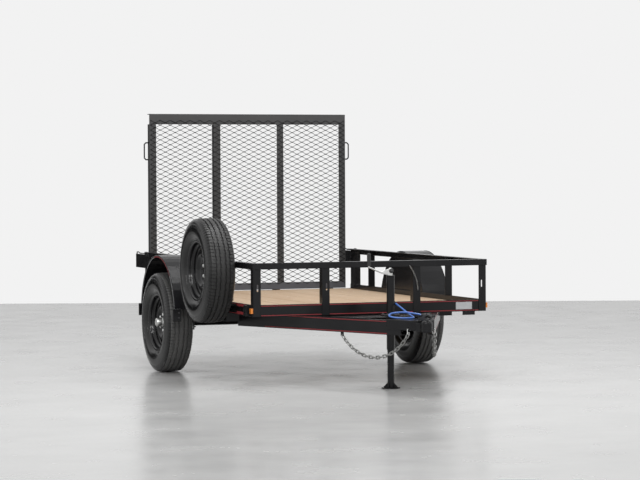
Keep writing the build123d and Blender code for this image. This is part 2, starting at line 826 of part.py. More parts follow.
tyre_corners = [(66.0, bead_radius), (tyre_width / 2, 262.0), (95.0, tyre_radius - 21), (77.0, tyre_radius)]
barrel_corners = [(70.0, bead_radius - 6), (rim_half, rim_radius), (67.0, bead_radius)]
wheel_table = [   # name, X of the wheel centre, distance back, Z, outward direction
    ("left", -wheel_x, axle_back, axle_z, -1),
    ("right", wheel_x, axle_back, axle_z, 1),
    ("spare", -spare_x, spare_back, spare_z, -1),
]
for name, x, back, z, out in wheel_table:
    centre = Plane(origin=(x, at(back), z), x_dir=(0, 1, 0), z_dir=(out, 0, 0))
    with BuildPart() as tyre:
        add(turned(both_sides(tyre_corners), centre, wheel_sides))
    save(tyre, f"tyre_{name}")

    with BuildPart() as rim:
        add(turned(both_sides(barrel_corners), centre, wheel_sides))
        add(turned(disc_section, centre, wheel_sides))
        with BuildSketch(centre) as windows:
            with PolarLocations(window_ring, window_count):
                with BuildLine():
                    Polyline(*window_outline, close=True)
                make_face()
        extrude(amount=rim_half, mode=Mode.SUBTRACT)
    save(rim, f"rim_{name}")

for name, out in sides.items():
    hub_face = Plane(origin=(out * wheel_x, axle_y, axle_z), x_dir=(0, 1, 0), z_dir=(out, 0, 0))
    hub_section = [   # distance out from the disc's seat, radius
        (hub_inner - wheel_x, hub_bore),
        (hub_inner - wheel_x, 36.0),
        (-12.0, 36.0),
        (-12.0, 76.0),
        (0.0, 76.0),
        (0.0, cap_radius),
        (spindle_tip - wheel_x + 4, cap_radius),
        (cap_tip - wheel_x, cap_radius - 6),
        (cap_tip - wheel_x, 0.0),
        (spindle_tip - wheel_x + 4, 0.0),
        (spindle_tip - wheel_x + 4, hub_bore),
    ]
    with BuildPart() as hub:
        add(turned(hub_section, hub_face, hub_sides))
        # wheel nuts on the disc's face
        for stud in range(stud_count):
            turn = math.pi + 2 * math.pi * stud / stud_count
            seat = hub_face.from_local_coords(Vector(stud_ring * math.cos(turn), stud_ring * math.sin(turn), disc_face))
            add(turned(nut_section, Plane(origin=seat, z_dir=hub_face.z_dir), 6))
    save(hub, f"hub_{name}")

# ---- spare carrier --------------------------------------------------------------------
carrier_wide = 60.0
carrier_arm = 50.0
carrier_out = post_half + 13
with BuildPart() as spare_carrier:
    # upright strap on the side post
    with BuildSketch(lengthwise(-post_half)):
        with Locations((at(spare_back) + 4, (frame_bottom + rail_top - rail_leg) / 2)):
            Rectangle(carrier_wide, rail_top - rail_leg - frame_bottom)
    extrude(amount=-(carrier_out - post_half))
    # arm out to the wheel's mounting plate
    with BuildSketch(lengthwise(-carrier_out)):
        with Locations((at(spare_back), spare_z)):
            Rectangle(carrier_arm, carrier_arm - 8)
    extrude(amount=-(spare_x - 6 - carrier_out))
    with BuildSketch(lengthwise(-spare_x + 6)):
        with Locations((at(spare_back), spare_z)):
            Rectangle(150, 60)
    extrude(amount=-6)
    # the two nuts that hold the wheel
    for turn in (math.radians(54), math.radians(126)):
        seat = Vector(-spare_x - disc_face, at(spare_back) + stud_ring * math.cos(turn), spare_z)
        seat += Vector(0, 0, stud_ring * math.sin(turn))
        add(turned(nut_section, Plane(origin=seat, z_dir=(-1, 0, 0)), 6))
save(spare_carrier, "spare_carrier")

# ---- fenders --------------------------------------------------------------------------
fender_inner = rail_half
fender_y = at(fender_back)
fender_sides = 48
fender_end_z = 455.0
fender_end_angle = math.degrees(math.asin((fender_end_z - fender_z) / fender_radius))
lip_deep = 12.0
foot_tall = 85.0
foot_y = fender_radius * math.cos(math.radians(fender_end_angle))


def fender_disc(radius):
    """Disc in flats that the fender's sheet is cut from."""
    with BuildSketch() as shape:
        RegularPolygon(circumradius(radius, fender_sides), fender_sides, rotation=180 / fender_sides)
    return shape.sketch


for name, side in sides.items():
    with BuildPart() as fender:
        with BuildSketch(lengthwise(side * fender_inner)):
            with Locations((fender_y, fender_z)):
                add(fender_disc(fender_radius))
                add(fender_disc(fender_radius - fender_sheet), mode=Mode.SUBTRACT)
            with Locations((fender_y, fender_end_z)):
                Rectangle(3 * fender_radius, fender_radius * 2, align=(Align.CENTER, Align.MAX), mode=Mode.SUBTRACT)
        extrude(amount=side * (fender_outer - fender_inner))
        # inner wall against the bed
        with BuildSketch(lengthwise(side * fender_inner)):
            with Locations((fender_y, fender_z)):
                add(fender_disc(fender_radius))
            with Locations((fender_y, frame_top - 30)):
                Rectangle(3 * fender_radius, fender_radius * 2, align=(Align.CENTER, Align.MAX), mode=Mode.SUBTRACT)
        extrude(amount=side * fender_sheet)
        # rolled lip round the outer edge
        with BuildSketch(lengthwise(side * fender_outer)):
            with Locations((fender_y, fender_z)):
                add(fender_disc(fender_radius))
                add(fender_disc(fender_radius - lip_deep), mode=Mode.SUBTRACT)
            with Locations((fender_y, fender_end_z)):
                Rectangle(3 * fender_radius, fender_radius * 2, align=(Align.CENTER, Align.MAX), mode=Mode.SUBTRACT)
        extrude(amount=side * fender_sheet)
        # the outrigger blocks that carry both ends
        for end in (-1, 1):
            with Locations((side * (fender_outer - 9), fender_y + end * (foot_y + 7), fender_end_z + 3)):
                Box(56, 18, foot_tall, align=(Align.CENTER, Align.CENTER, Align.MAX))
    save(fender, f"fender_{name}")

# ---- gate -----------------------------------------------------------------------------
gate_y = at(gate_back)
gate_stile_x = [-gate_half + gate_leg / 2, -248.0, 248.0, gate_half - gate_leg / 2]
bar_bottom = gate_top - gate_bar_leg
stile_bottom = gate_bottom + gate_leg

with BuildPart() as gate_top_bar:
    with BuildSketch(lengthwise(-gate_half)):
        add(angle_section(gate_y, gate_top, gate_leg, -gate_bar_leg))
    extrude(amount=2 * gate_half)
save(gate_top_bar, "gate_top_bar")

with BuildPart() as gate_bottom_bar:
    with BuildSketch(lengthwise(-gate_half)):
        add(angle_section(gate_y, gate_bottom, gate_leg, gate_leg))
    extrude(amount=2 * gate_half)
save(gate_bottom_bar, "gate_bottom_bar")

with BuildPart() as gate_stiles:
    with BuildSketch(Plane.XY.offset(stile_bottom)):
        for x in gate_stile_x:
            turn = 1 if x < 0 else -1
            add(angle_section(x - turn * gate_leg / 2, gate_y, turn * gate_leg, gate_leg - steel))
    extrude(amount=bar_bottom - stile_bottom)
save(gate_stiles, "gate_stiles")

diamond_wide = 76.0
diamond_high = 36.0
strand_wide = 4.0
strand_thick = 2.0
mesh_thick = 5.0
mesh_edge = 5.0
mesh_half = gate_half - 6
mesh_bottom = stile_bottom - 12
mesh_top = bar_bottom + 30
mesh_tall = mesh_top - mesh_bottom
mesh_mid = (mesh_top + mesh_bottom) / 2
strand_slope = math.degrees(math.atan(diamond_high / diamond_wide))
strand_long = 2 * mesh_half / math.cos(math.radians(strand_slope)) + 20
strand_rise = 2 * mesh_half * diamond_high / diamond_wide
strand_count = math.ceil((mesh_tall + strand_rise) / diamond_high)
with BuildPart() as gate_mesh:
    with BuildSketch(across(gate_back)):
        with Locations((0, mesh_mid)):
            Rectangle(2 * mesh_half, mesh_tall)
            Rectangle(2 * (mesh_half - mesh_edge), mesh_tall - 2 * mesh_edge, mode=Mode.SUBTRACT)
    extrude(amount=mesh_thick)
    # the strands lie in two layers, one for each slope
    for lean, lift in ((1, 0.0), (-1, mesh_thick - strand_thick)):
        with BuildSketch(across(gate_back - lift)):
            with Locations((0, mesh_mid)):
                with GridLocations(1, diamond_high, 1, strand_count):
                    Rectangle(strand_long, strand_wide, rotation=lean * strand_slope)
                Rectangle(2 * mesh_half - 2, mesh_tall - 2, mode=Mode.INTERSECT)
        extrude(amount=strand_thick)
save(gate_mesh, "gate_mesh")

handle_z = 1540.0
handle_half = 62.0
handle_out = 34.0
handle_bend = 12.0
handle_y = gate_y + 20
rod_radius = 5.0
with BuildPart() as gate_handles:
    for side in sides.values():
        x = side * gate_half
        with BuildLine():
            Polyline(
                (x, handle_y, handle_z - handle_half),
                (x + side * (handle_out - handle_bend), handle_y, handle_z - handle_half),
                (x + side * handle_out, handle_y, handle_z - handle_half + handle_bend),
                (x + side * handle_out, handle_y, handle_z + handle_half - handle_bend),
                (x + side * (handle_out - handle_bend), handle_y, handle_z + handle_half),
                (x, handle_y, handle_z + handle_half),
            )
        with BuildSketch(Plane(origin=(x, handle_y, handle_z - handle_half), z_dir=(side, 0, 0))):
            RegularPolygon(rod_radius, small_sides)
        sweep(transition=Transition.RIGHT)
save(gate_handles, "gate_handles")

# ---- hinges -----------------------------------------------------------------------------
hinge_y = at(hinge_back)
hinge_pin_radius = 6.0
barrel_radius = 12.0
barrel_half = 30.0
cheek_thick = 8.0
hinge_x = [-640.0, -215.0, 215.0, 640.0]
with BuildPart() as gate_hinge_barrels:
    for x in hinge_x:
        with BuildSketch(lengthwise(x - barrel_half)):
            with Locations((hinge_y, hinge_z)):
                RegularPolygon(barrel_radius, round_sides)
            with Locations((gate_y + 14, (hinge_z + gate_bottom) / 2)):
                Rectangle(12, gate_bottom - hinge_z)
            with Locations((hinge_y, hinge_z)):
                RegularPolygon(circumradius(hinge_pin_radius + 0.5, small_sides), small_sides, mode=Mode.SUBTRACT)
        extrude(amount=2 * barrel_half)
save(gate_hinge_barrels, "gate_hinge_barrels")

with BuildPart() as hinge_lugs:
    for x in hinge_x:
        for end in (-1, 1):
            with BuildSketch(lengthwise(x + end * (barrel_half + 2 + cheek_thick / 2) - cheek_thick / 2)):
                with BuildLine():
                    Polyline(
                        (at(frame_length), hinge_z + 10),
                        (hinge_y, hinge_z + 12),
                        (hinge_y + 12, hinge_z),
                        (hinge_y, hinge_z - 12),
                        (at(frame_length), hinge_z - 24),
                        close=True,
                    )
                make_face()
            extrude(amount=cheek_thick)
        with BuildSketch(lengthwise(x - barrel_half - 2 - cheek_thick)):
            with Locations((hinge_y, hinge_z)):
                RegularPolygon(hinge_pin_radius, small_sides)
        extrude(amount=2 * (barrel_half + 2 + cheek_thick))
save(hinge_lugs, "hinge_lugs")

# ---- small fittings -----------------------------------------------------------------------
pocket_backs = [60.0, 2120.0]
pocket_wide = 50.0
pocket_tall = 70.0
pocket_deep = 34.0
with BuildPart() as stake_pockets:
    for side in sides.values():
        for back in pocket_backs:
            with BuildSketch(Plane.XY.offset(frame_bottom + 3)):
                with Locations((side * (frame_half + pocket_deep / 2), at(back) + pocket_wide / 2)):
                    Rectangle(pocket_deep, pocket_wide)
                    Rectangle(pocket_deep - 8, pocket_wide - 8, mode=Mode.SUBTRACT)
            extrude(amount=pocket_tall)
save(stake_pockets, "stake_pockets")

lamp_z = (frame_bottom + frame_top) / 2
with BuildPart() as side_markers:
    for side in sides.values():
        with Locations((side * (post_half + 7), at(16), lamp_z)):
            Box(14, 30, 34)
save(side_markers, "side_markers")

# flat tail lamps on the rear rail, outboard of the gate's hinges
tail_lamp_x = 730.0
tail_lamp_z = 476.0
tail_lamp_base = 8.0
with BuildPart() as tail_lamp_boxes:
    for side in sides.values():
        with Locations((side * tail_lamp_x, at(frame_length + tail_lamp_base / 2), tail_lamp_z)):
            Box(78, tail_lamp_base, 32)
save(tail_lamp_boxes, "tail_lamp_boxes")

with BuildPart() as tail_lamps:
    for side in sides.values():
        with BuildSketch(across(frame_length + tail_lamp_base)):
            with Locations((side * tail_lamp_x, tail_lamp_z)):
                Rectangle(70, 24)
        extrude(amount=-4, taper=20)
save(tail_lamps, "tail_lamps")
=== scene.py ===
"""Looks of a single-axle utility trailer: finishes, stage and the pieces that dress the frame."""

from __future__ import annotations

import json
import logging
import math
from dataclasses import dataclass, field
from enum import Enum
from typing import Iterable, Sequence

import bmesh
import bpy
from mathutils import Matrix, Vector

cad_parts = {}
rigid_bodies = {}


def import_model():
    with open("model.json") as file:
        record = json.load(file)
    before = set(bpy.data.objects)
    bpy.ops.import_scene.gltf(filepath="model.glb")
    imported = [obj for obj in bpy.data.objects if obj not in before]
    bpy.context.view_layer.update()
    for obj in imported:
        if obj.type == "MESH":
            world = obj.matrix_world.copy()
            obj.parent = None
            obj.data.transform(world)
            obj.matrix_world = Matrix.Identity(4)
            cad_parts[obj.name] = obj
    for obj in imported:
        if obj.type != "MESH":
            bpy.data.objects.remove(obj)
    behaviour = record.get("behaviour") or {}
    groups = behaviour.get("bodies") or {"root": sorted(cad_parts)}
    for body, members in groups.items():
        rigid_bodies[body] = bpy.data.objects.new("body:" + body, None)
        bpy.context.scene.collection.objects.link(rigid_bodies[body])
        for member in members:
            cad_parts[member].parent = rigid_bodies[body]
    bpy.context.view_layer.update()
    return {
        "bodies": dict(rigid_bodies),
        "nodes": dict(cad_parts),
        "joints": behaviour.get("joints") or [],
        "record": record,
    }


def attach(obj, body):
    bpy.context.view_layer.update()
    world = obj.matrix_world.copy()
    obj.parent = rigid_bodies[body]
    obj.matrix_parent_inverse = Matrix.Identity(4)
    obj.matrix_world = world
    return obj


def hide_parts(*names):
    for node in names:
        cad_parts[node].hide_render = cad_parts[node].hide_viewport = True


log = logging.getLogger("trailer")

Pair = tuple[float, float]
Triple = tuple[float, float, float]
Outline = Sequence[Pair]
Socket = bpy.types.NodeSocket
Material = bpy.types.Material

MM = 0.001
FRAME_FRONT_Y = -0.8500   # Y of the bed's front rail; distances "back" are measured from it
ALONG_X, ALONG_Y, ALONG_Z = Vector((1, 0, 0)), Vector((0, 1, 0)), Vector((0, 0, 1))
MITRE_LIMIT = 0.3   # least cosine that a mitred corner is worked out with
BEND_SHARE = 0.49   # most of a straight that the bend at one end of it takes up
HEXAGON = 6


def spot(x: float, back: float, z: float) -> Vector:
    """Point in the row frame from X, distance back and Z in millimetres."""
    return Vector((x * MM, FRAME_FRONT_Y + back * MM, z * MM))


def around(centre: Vector, x: float, radius: float, angle: float) -> Vector:
    """Point round an axle: X and radius in millimetres from its centre, at an angle."""
    reach = radius * MM
    return centre + Vector((x * MM, reach * math.cos(angle), reach * math.sin(angle)))


def placed(name: str, data: bpy.types.ID) -> bpy.types.Object:
    """New object in the scene.

    Args:
        name: Name of the object.
        data: Mesh, curve, camera or lamp that it shows.

    Returns:
        The object.
    """
    made = bpy.data.objects.new(name, data)
    bpy.context.scene.collection.objects.link(made)
    return made


class Side(Enum):
    """The trailer's two sides, as the sign of X."""

    LEFT = -1
    RIGHT = 1


# ---- finishes ---------------------------------------------------------------------------


class Nodes:
    """Adds and wires shader nodes in one tree."""

    def __init__(self, tree: bpy.types.NodeTree) -> None:
        """Empty the tree."""
        self.tree = tree
        tree.nodes.clear()

    def add(self, kind: str, feeds: dict | None = None, **settings: object) -> bpy.types.Node:
        """Add a node.

        Args:
            kind: Type of the node.
            feeds: A constant or a socket for each input, by name or number.
            settings: Attributes of the node.

        Returns:
            The node.
        """
        node = self.tree.nodes.new(kind)
        for name, value in settings.items():
            setattr(node, name, value)
        for name, source in (feeds or {}).items():
            if isinstance(source, Socket):
                self.tree.links.new(source, node.inputs[name])
            else:
                node.inputs[name].default_value = source
        return node

    def math(self, operation: str, first: object, second: object) -> Socket:
        """Result of a maths operation on two values."""
        return self.add("ShaderNodeMath", {0: first, 1: second}, operation=operation).outputs[0]


class Recipe(Nodes):
    """One material with a principled shader and the textures that feed it."""

    def __init__(self, name: str) -> None:
        """Start an empty node material.

        Args:
            name: Name of the material.
        """
        self.material = bpy.data.materials.new(name)
        self.material.use_nodes = True
        super().__init__(self.material.node_tree)
        self.shader = self.add("ShaderNodeBsdfPrincipled")
        self.add("ShaderNodeOutputMaterial", {0: self.shader.outputs[0]})
        self.place = self.add("ShaderNodeTexCoord").outputs["Object"]

    def stretched(self, along: Sequence[float]) -> Socket:
        """Object coordinates scaled along each axis."""
        return self.add("ShaderNodeMapping", {"Vector": self.place, "Scale": along}).outputs[0]

    def noise(self, scale: float, detail: float, along: Sequence[float] = (1, 1, 1)) -> Socket:
        """Fractal noise value, stretched where along differs from one."""
        feeds = {"Scale": scale, "Detail": detail, "Vector": self.stretched(along)}
        return self.add("ShaderNodeTexNoise", feeds).outputs[0]

    def span(self, source: Socket, low: float, high: float) -> Socket:
        """Value of 0 to 1 spread over another range."""
        feeds = {"Value": source, "To Min": low, "To Max": high}
        return self.add("ShaderNodeMapRange", feeds).outputs[0]

    def mix(self, share: Socket, first: object, second: object) -> Socket:
        """Blend two colours.

        Args:
            share: Share of the second colour.
            first: Colour where the share is zero, a socket or three channels.
            second: Colour where it is one, the same.

        Returns:
            The blend.
        """
        ends = [end if isinstance(end, Socket) else (*end, 1.0) for end in (first, second)]
        return self.add("ShaderNodeMix", {0: share, 6: ends[0], 7: ends[1]},
                        data_type="RGBA").outputs[2]

    def bump(self, height: Socket, strength: float, distance: float, edge: float = 0.0) -> None:
        """Put relief on the shader's normal.

        Args:
            height: Height of the relief.
            strength: Strength of 0 to 1.
            distance: Depth of the relief in metres.
            edge: Radius that edges are softened over, in metres; none are if it is zero.
        """
        feeds = {"Height": height, "Strength": strength, "Distance": distance}
        if edge:
            feeds["Normal"] = self.add("ShaderNodeBevel", {"Radius": edge}, samples=4).outputs[0]
        self.tree.links.new(self.add("ShaderNodeBump", feeds).outputs[0],
                            self.shader.inputs["Normal"])

    def done(self, colour: Socket, rough: Socket, **constants: float) -> Material:
        """Feed the shader.

        Args:
            colour: Base colour.
            rough: Roughness.
            constants: The shader's other inputs, with _ for a space in the name.

        Returns:
            The material.
        """
        self.tree.links.new(colour, self.shader.inputs["Base Color"])
        self.tree.links.new(rough, self.shader.inputs["Roughness"])
        for name, value in constants.items():
            self.shader.inputs[name.replace("_", " ")].default_value = value
        return self.material


@dataclass(frozen=True)
class Finish:
    """A colour that clouds over into a shade of itself, with a fine grain."""

    name: str
    colour: Triple
    shade: Triple | None = None   # 0.7 of the colour if none is given
    rough: float = 0.4
    rough_spread: float = 0.15
    cloud: Pair = (14.0, 5.0)     # scale and detail
    share: Pair = (0.0, 0.8)      # least and most of the shade
    grain: Pair = (300.0, 2.0)    # scale and detail
    relief: Triple = (0.06, 0.0004, 0.0)   # strength, distance and radius of soft edges

    def constants(self) -> dict[str, float]:
        """The shader's other inputs."""
        return {}

    def build(self) -> Material:
        """Material of this finish.

        Returns:
            The material.
        """
        r = Recipe(self.name)
        cloud = r.noise(*self.cloud)
        shade = self.shade or tuple(channel * 0.7 for channel in self.colour)
        r.bump(r.noise(*self.grain), *self.relief)
        return r.done(r.mix(r.span(cloud, *self.share), self.colour, shade),
                      r.span(cloud, self.rough, self.rough + self.rough_spread),
                      **self.constants())


@dataclass(frozen=True)
class Enamel(Finish):
    """Glossy sprayed paint with a faint orange peel and a little dust."""

    shade: Triple = (0.028, 0.028, 0.029)
    rough: float = 0.14
    rough_spread: float = 0.14
    cloud: Pair = (5.0, 4.0)
    share: Pair = (-0.15, 0.30)
    grain: Pair = (240.0, 2.0)
    relief: Triple = (0.05, 0.0006, 0.005)
    specular: float = 0.2
    coat: float = 0.04
    coat_rough: float = 0.05

    def constants(self) -> dict[str, float]:
        """Thin coat and weak mirror of the paint."""
        return {"Coat_Weight": self.coat, "Coat_Roughness": self.coat_rough,
                "Specular_IOR_Level": self.specular}


@dataclass(frozen=True)
class Rubber(Finish):
    """Tyre rubber, dark and slightly dusty."""

    name: str = "tyre_rubber"
    colour: Triple = (0.006, 0.006, 0.0065)
    shade: Triple = (0.026, 0.026, 0.025)
    rough: float = 0.1
    rough_spread: float = 0.2
    cloud: Pair = (9.0, 5.0)
    share: Pair = (-0.1, 0.5)
    grain: Pair = (500.0, 3.0)
    relief: Triple = (0.08, 0.0005, 0.0)
    specular: float = 0.4

    def constants(self) -> dict[str, float]:
        """Weak mirror of the rubber."""
        return {"Specular_IOR_Level": self.specular}


@dataclass(frozen=True)
class Metal(Finish):
    """Bare or plated metal with fine brushing and soft blotches."""

    relief: Triple = (0.06, 0.0004, 0.0015)
    metallic: float = 1.0

    def constants(self) -> dict[str, float]:
        """How metallic it is."""
        return {"Metallic": self.metallic}


@dataclass(frozen=True)
class Moulding(Finish):
    """Moulded plastic or rubber with a fine texture."""

    rough_spread: float = 0.1
    cloud: Pair = (20.0, 3.0)
    share: Pair = (0.0, 0.7)
    grain: Pair = (600.0, 1.0)
    relief: Triple = (0.08, 0.0003, 0.0)
    clear: float = 0.0

    def constants(self) -> dict[str, float]:
        """Clear coat of a lens or a jacket."""
        return {"Coat_Weight": self.clear}


@dataclass(frozen=True)
class Lens(Moulding):
    """Clear coloured plastic of a lamp."""

    rough: float = 0.12
    grain: Pair = (300.0, 1.0)
    clear: float = 0.6


@dataclass(frozen=True)
class Pine:
    """Planed softwood boards: long grain, knots and a tone of its own for each board."""

    name: str = "planed_pine"
    pale: Triple = (0.56, 0.41, 0.27)
    dark: Triple = (0.27, 0.17, 0.10)
    ring: Triple = (0.36, 0.20, 0.09)
    fresh: Triple = (0.68, 0.53, 0.38)
    knot: Triple = (0.16, 0.08, 0.04)
    board_noise: Triple = (4.9, 0.05, 1.0)
    grain_noise: Triple = (1.0, 0.035, 1.0)
    ring_noise: Triple = (1.0, 0.09, 1.0)
    knot_noise: Triple = (2.2, 0.8, 1.0)
    knot_reach: float = 0.07

    def build(self) -> Material:
        """Material of the deck boards.

        Returns:
            The material.
        """
        r = Recipe(self.name)
        tone = r.noise(1.0, 0.0, self.board_noise)
        grain = r.noise(60.0, 5.0, self.grain_noise)
        rings = r.add("ShaderNodeTexWave", {
            "Scale": 22.0, "Distortion": 7.0, "Detail": 3.0, "Vector": r.stretched(self.ring_noise),
        }, wave_type="BANDS", bands_direction="X")
        knots = r.add("ShaderNodeTexVoronoi", {"Scale": 2.6,
                                               "Vector": r.stretched(self.knot_noise)})
        spots = r.add("ShaderNodeValToRGB", {0: knots.outputs["Distance"]})
        for stop, (reach, level) in zip(spots.color_ramp.elements,
                                        ((0.0, 1), (self.knot_reach, 0))):
            stop.position = reach
            stop.color = (level, level, level, 1.0)
        wood = r.mix(r.span(grain, 0.0, 0.9), self.pale, self.dark)
        wood = r.mix(r.span(rings.outputs[1], 0.0, 0.28), wood, self.ring)
        wood = r.mix(r.span(tone, 0.0, 0.35), wood, self.fresh)
        r.bump(grain, 0.25, 0.001)
        return r.done(r.mix(spots.outputs[0], wood, self.knot), r.span(grain, 0.5, 0.75))


@dataclass(frozen=True)
class PolishedConcrete:
    """Pale trowelled floor with a soft reflection."""

    name: str = "polished_concrete"
    pale: Triple = (0.55, 0.55, 0.545)
    dark: Triple = (0.42, 0.42, 0.418)
    rough: Pair = (0.16, 0.34)

    def build(self) -> Material:
        """Material of the floor.

        Returns:
            The material.
        """
        r = Recipe(self.name)
        cloud = r.noise(1.4, 6.0, (1.0, 1.6, 1.0))
        return r.done(r.mix(cloud, self.pale, self.dark), r.span(r.noise(3.0, 4.0), *self.rough))


class Finishes:
    """Every finish on the trailer, built once."""

    def __init__(self) -> None:
        """Build the materials."""
        self.enamel = Enamel("black_enamel", (0.009, 0.009, 0.010)).build()
        # The gate's finish is the black enamel made lighter: painted light for the gate's front
        # faces, which catch more light than the rest of the frame.
        self.gate = Enamel("gate_enamel", (0.06, 0.06, 0.061), (0.11, 0.11, 0.11), 0.25).build()
        self.wheel = Enamel("wheel_enamel", (0.005, 0.005, 0.006), (0.02, 0.02, 0.02), 0.12,
                            specular=0.4).build()
        self.sill = Enamel("sill_enamel", (0.09, 0.093, 0.105), (0.15, 0.153, 0.165),
                           0.35).build()
        self.stripe = Enamel("red_stripe", (0.30, 0.035, 0.04), (0.2, 0.05, 0.05), 0.3).build()
        self.silver = Enamel("silver_stripe", (0.62, 0.62, 0.63), (0.5, 0.5, 0.5), 0.3).build()
        self.pine = Pine().build()
        self.rubber = Rubber().build()
        # The tread finishes are lighter than the sidewall rubber: partly dust on the tread, partly
        # painted light where the tread faces the front lamp.
        self.tread = Rubber("tyre_tread", (0.012, 0.012, 0.012), (0.05, 0.049, 0.048),
                            0.36).build()
        # The road wheels' tread is a much lighter copy of the tread rubber: painted light that
        # makes up for the shade their fenders cast on it.
        self.road_tread = Rubber("road_tread", (0.08, 0.08, 0.079), (0.20, 0.197, 0.193),
                                 0.5).build()
        self.zinc = Metal("zinc_plate", (0.80, 0.80, 0.78), (0.60, 0.61, 0.60), 0.28).build()
        self.chain = Metal("chain_zinc", (0.40, 0.40, 0.39), (0.17, 0.17, 0.165), 0.34).build()
        self.chrome = Metal("chrome", (0.86, 0.86, 0.86), (0.75, 0.75, 0.75), 0.08).build()
        self.steel = Metal("dark_steel", (0.09, 0.09, 0.095), (0.05, 0.05, 0.05), 0.42,
                           metallic=0.6).build()
        self.plate = Metal("blank_plate", (0.55, 0.56, 0.57), (0.45, 0.46, 0.47), 0.35).build()
        self.cord = Moulding("blue_jacket", (0.055, 0.16, 0.52), rough=0.38, grain=(900.0, 1.0),
                             clear=0.2).build()
        self.grip = Moulding("black_plastic", (0.02, 0.02, 0.02), rough=0.45).build()
        self.amber = Lens("amber_lens", (0.85, 0.26, 0.03)).build()
        self.red = Lens("red_lens", (0.55, 0.015, 0.015)).build()
        self.concrete = PolishedConcrete().build()


# ---- making pieces ------------------------------------------------------------------------


def inset(outline: Outline, amount: float) -> list[Pair]:
    """Move every side of a polygon inwards by the same amount.

    Args:
        outline: Corners of the polygon.
        amount: Distance to move by.

    Returns:
        Corners of the smaller polygon.
    """
    before_each = [outline[-1], *outline[:-1]]
    after_each = [*outline[1:], outline[0]]
    area = sum(a[0] * b[1] - b[0] * a[1] for a, b in zip(outline, after_each))
    inward = math.copysign(amount, area)
    moved = []
    for before, here, after in zip(before_each, outline, after_each):
        first = Vector((here[0] - before[0], here[1] - before[1])).normalized()
        second = Vector((after[0] - here[0], after[1] - here[1])).normalized()
        middle = (first + second).normalized()
        reach = inward / max(MITRE_LIMIT, middle.dot(first))
        moved.append((here[0] - middle.y * reach, here[1] + middle.x * reach))
    return moved


def rounded(half_u: float, half_v: float, radius: float, steps: int) -> list[Pair]:
    """Outline a rectangle with round corners, centred on zero.

    Args:
        half_u: Half the width.
        half_v: Half the height.
        radius: Radius of the corners.
        steps: Segments in each corner.

    Returns:
        Corners of the outline.
    """
    corners = []
    for quarter, (side_u, side_v) in enumerate(((1, 1), (-1, 1), (-1, -1), (1, -1))):
        for step in range(steps + 1):
            turn = math.radians(90 * quarter + 90 * step / steps)
            corners.append((side_u * (half_u - radius) + radius * math.cos(turn),
                            side_v * (half_v - radius) + radius * math.sin(turn)))
    return corners


def ring_of(radius: float, corners: int) -> list[Pair]:
    """Regular polygon standing for a round section."""
    turns = (2 * math.pi * step / corners for step in range(corners))
    return [(radius * math.cos(turn), radius * math.sin(turn)) for turn in turns]


def fillet(points: Sequence[Vector], radius: float, steps: int = 6) -> list[Vector]:
    """Round the corners of an open path.

    Args:
        points: Path in metres.
        radius: Radius of the bends in millimetres.
        steps: Segments in each bend.

    Returns:
        The path with its corners rounded.
    """
    path = [points[0]]
    for before, here, after in zip(points, points[1:], points[2:]):
        into, away = (before - here), (after - here)
        half = into.angle(away) / 2
        back_off = min(radius * MM / math.tan(half), BEND_SHARE * into.length,
                       BEND_SHARE * away.length)
        start, end = here + into.normalized() * back_off, here + away.normalized() * back_off
        for step in range(steps + 1):
            share = step / steps
            path.append(start.lerp(here, share).lerp(here.lerp(end, share), share))
    path.append(points[-1])
    return path


def tape(wide: float, proud: float) -> list[Pair]:
    """Section of a flat stripe that lies on a surface."""
    return [(-wide / 2, 0.0), (-wide / 2, proud), (wide / 2, proud), (wide / 2, 0.0)]


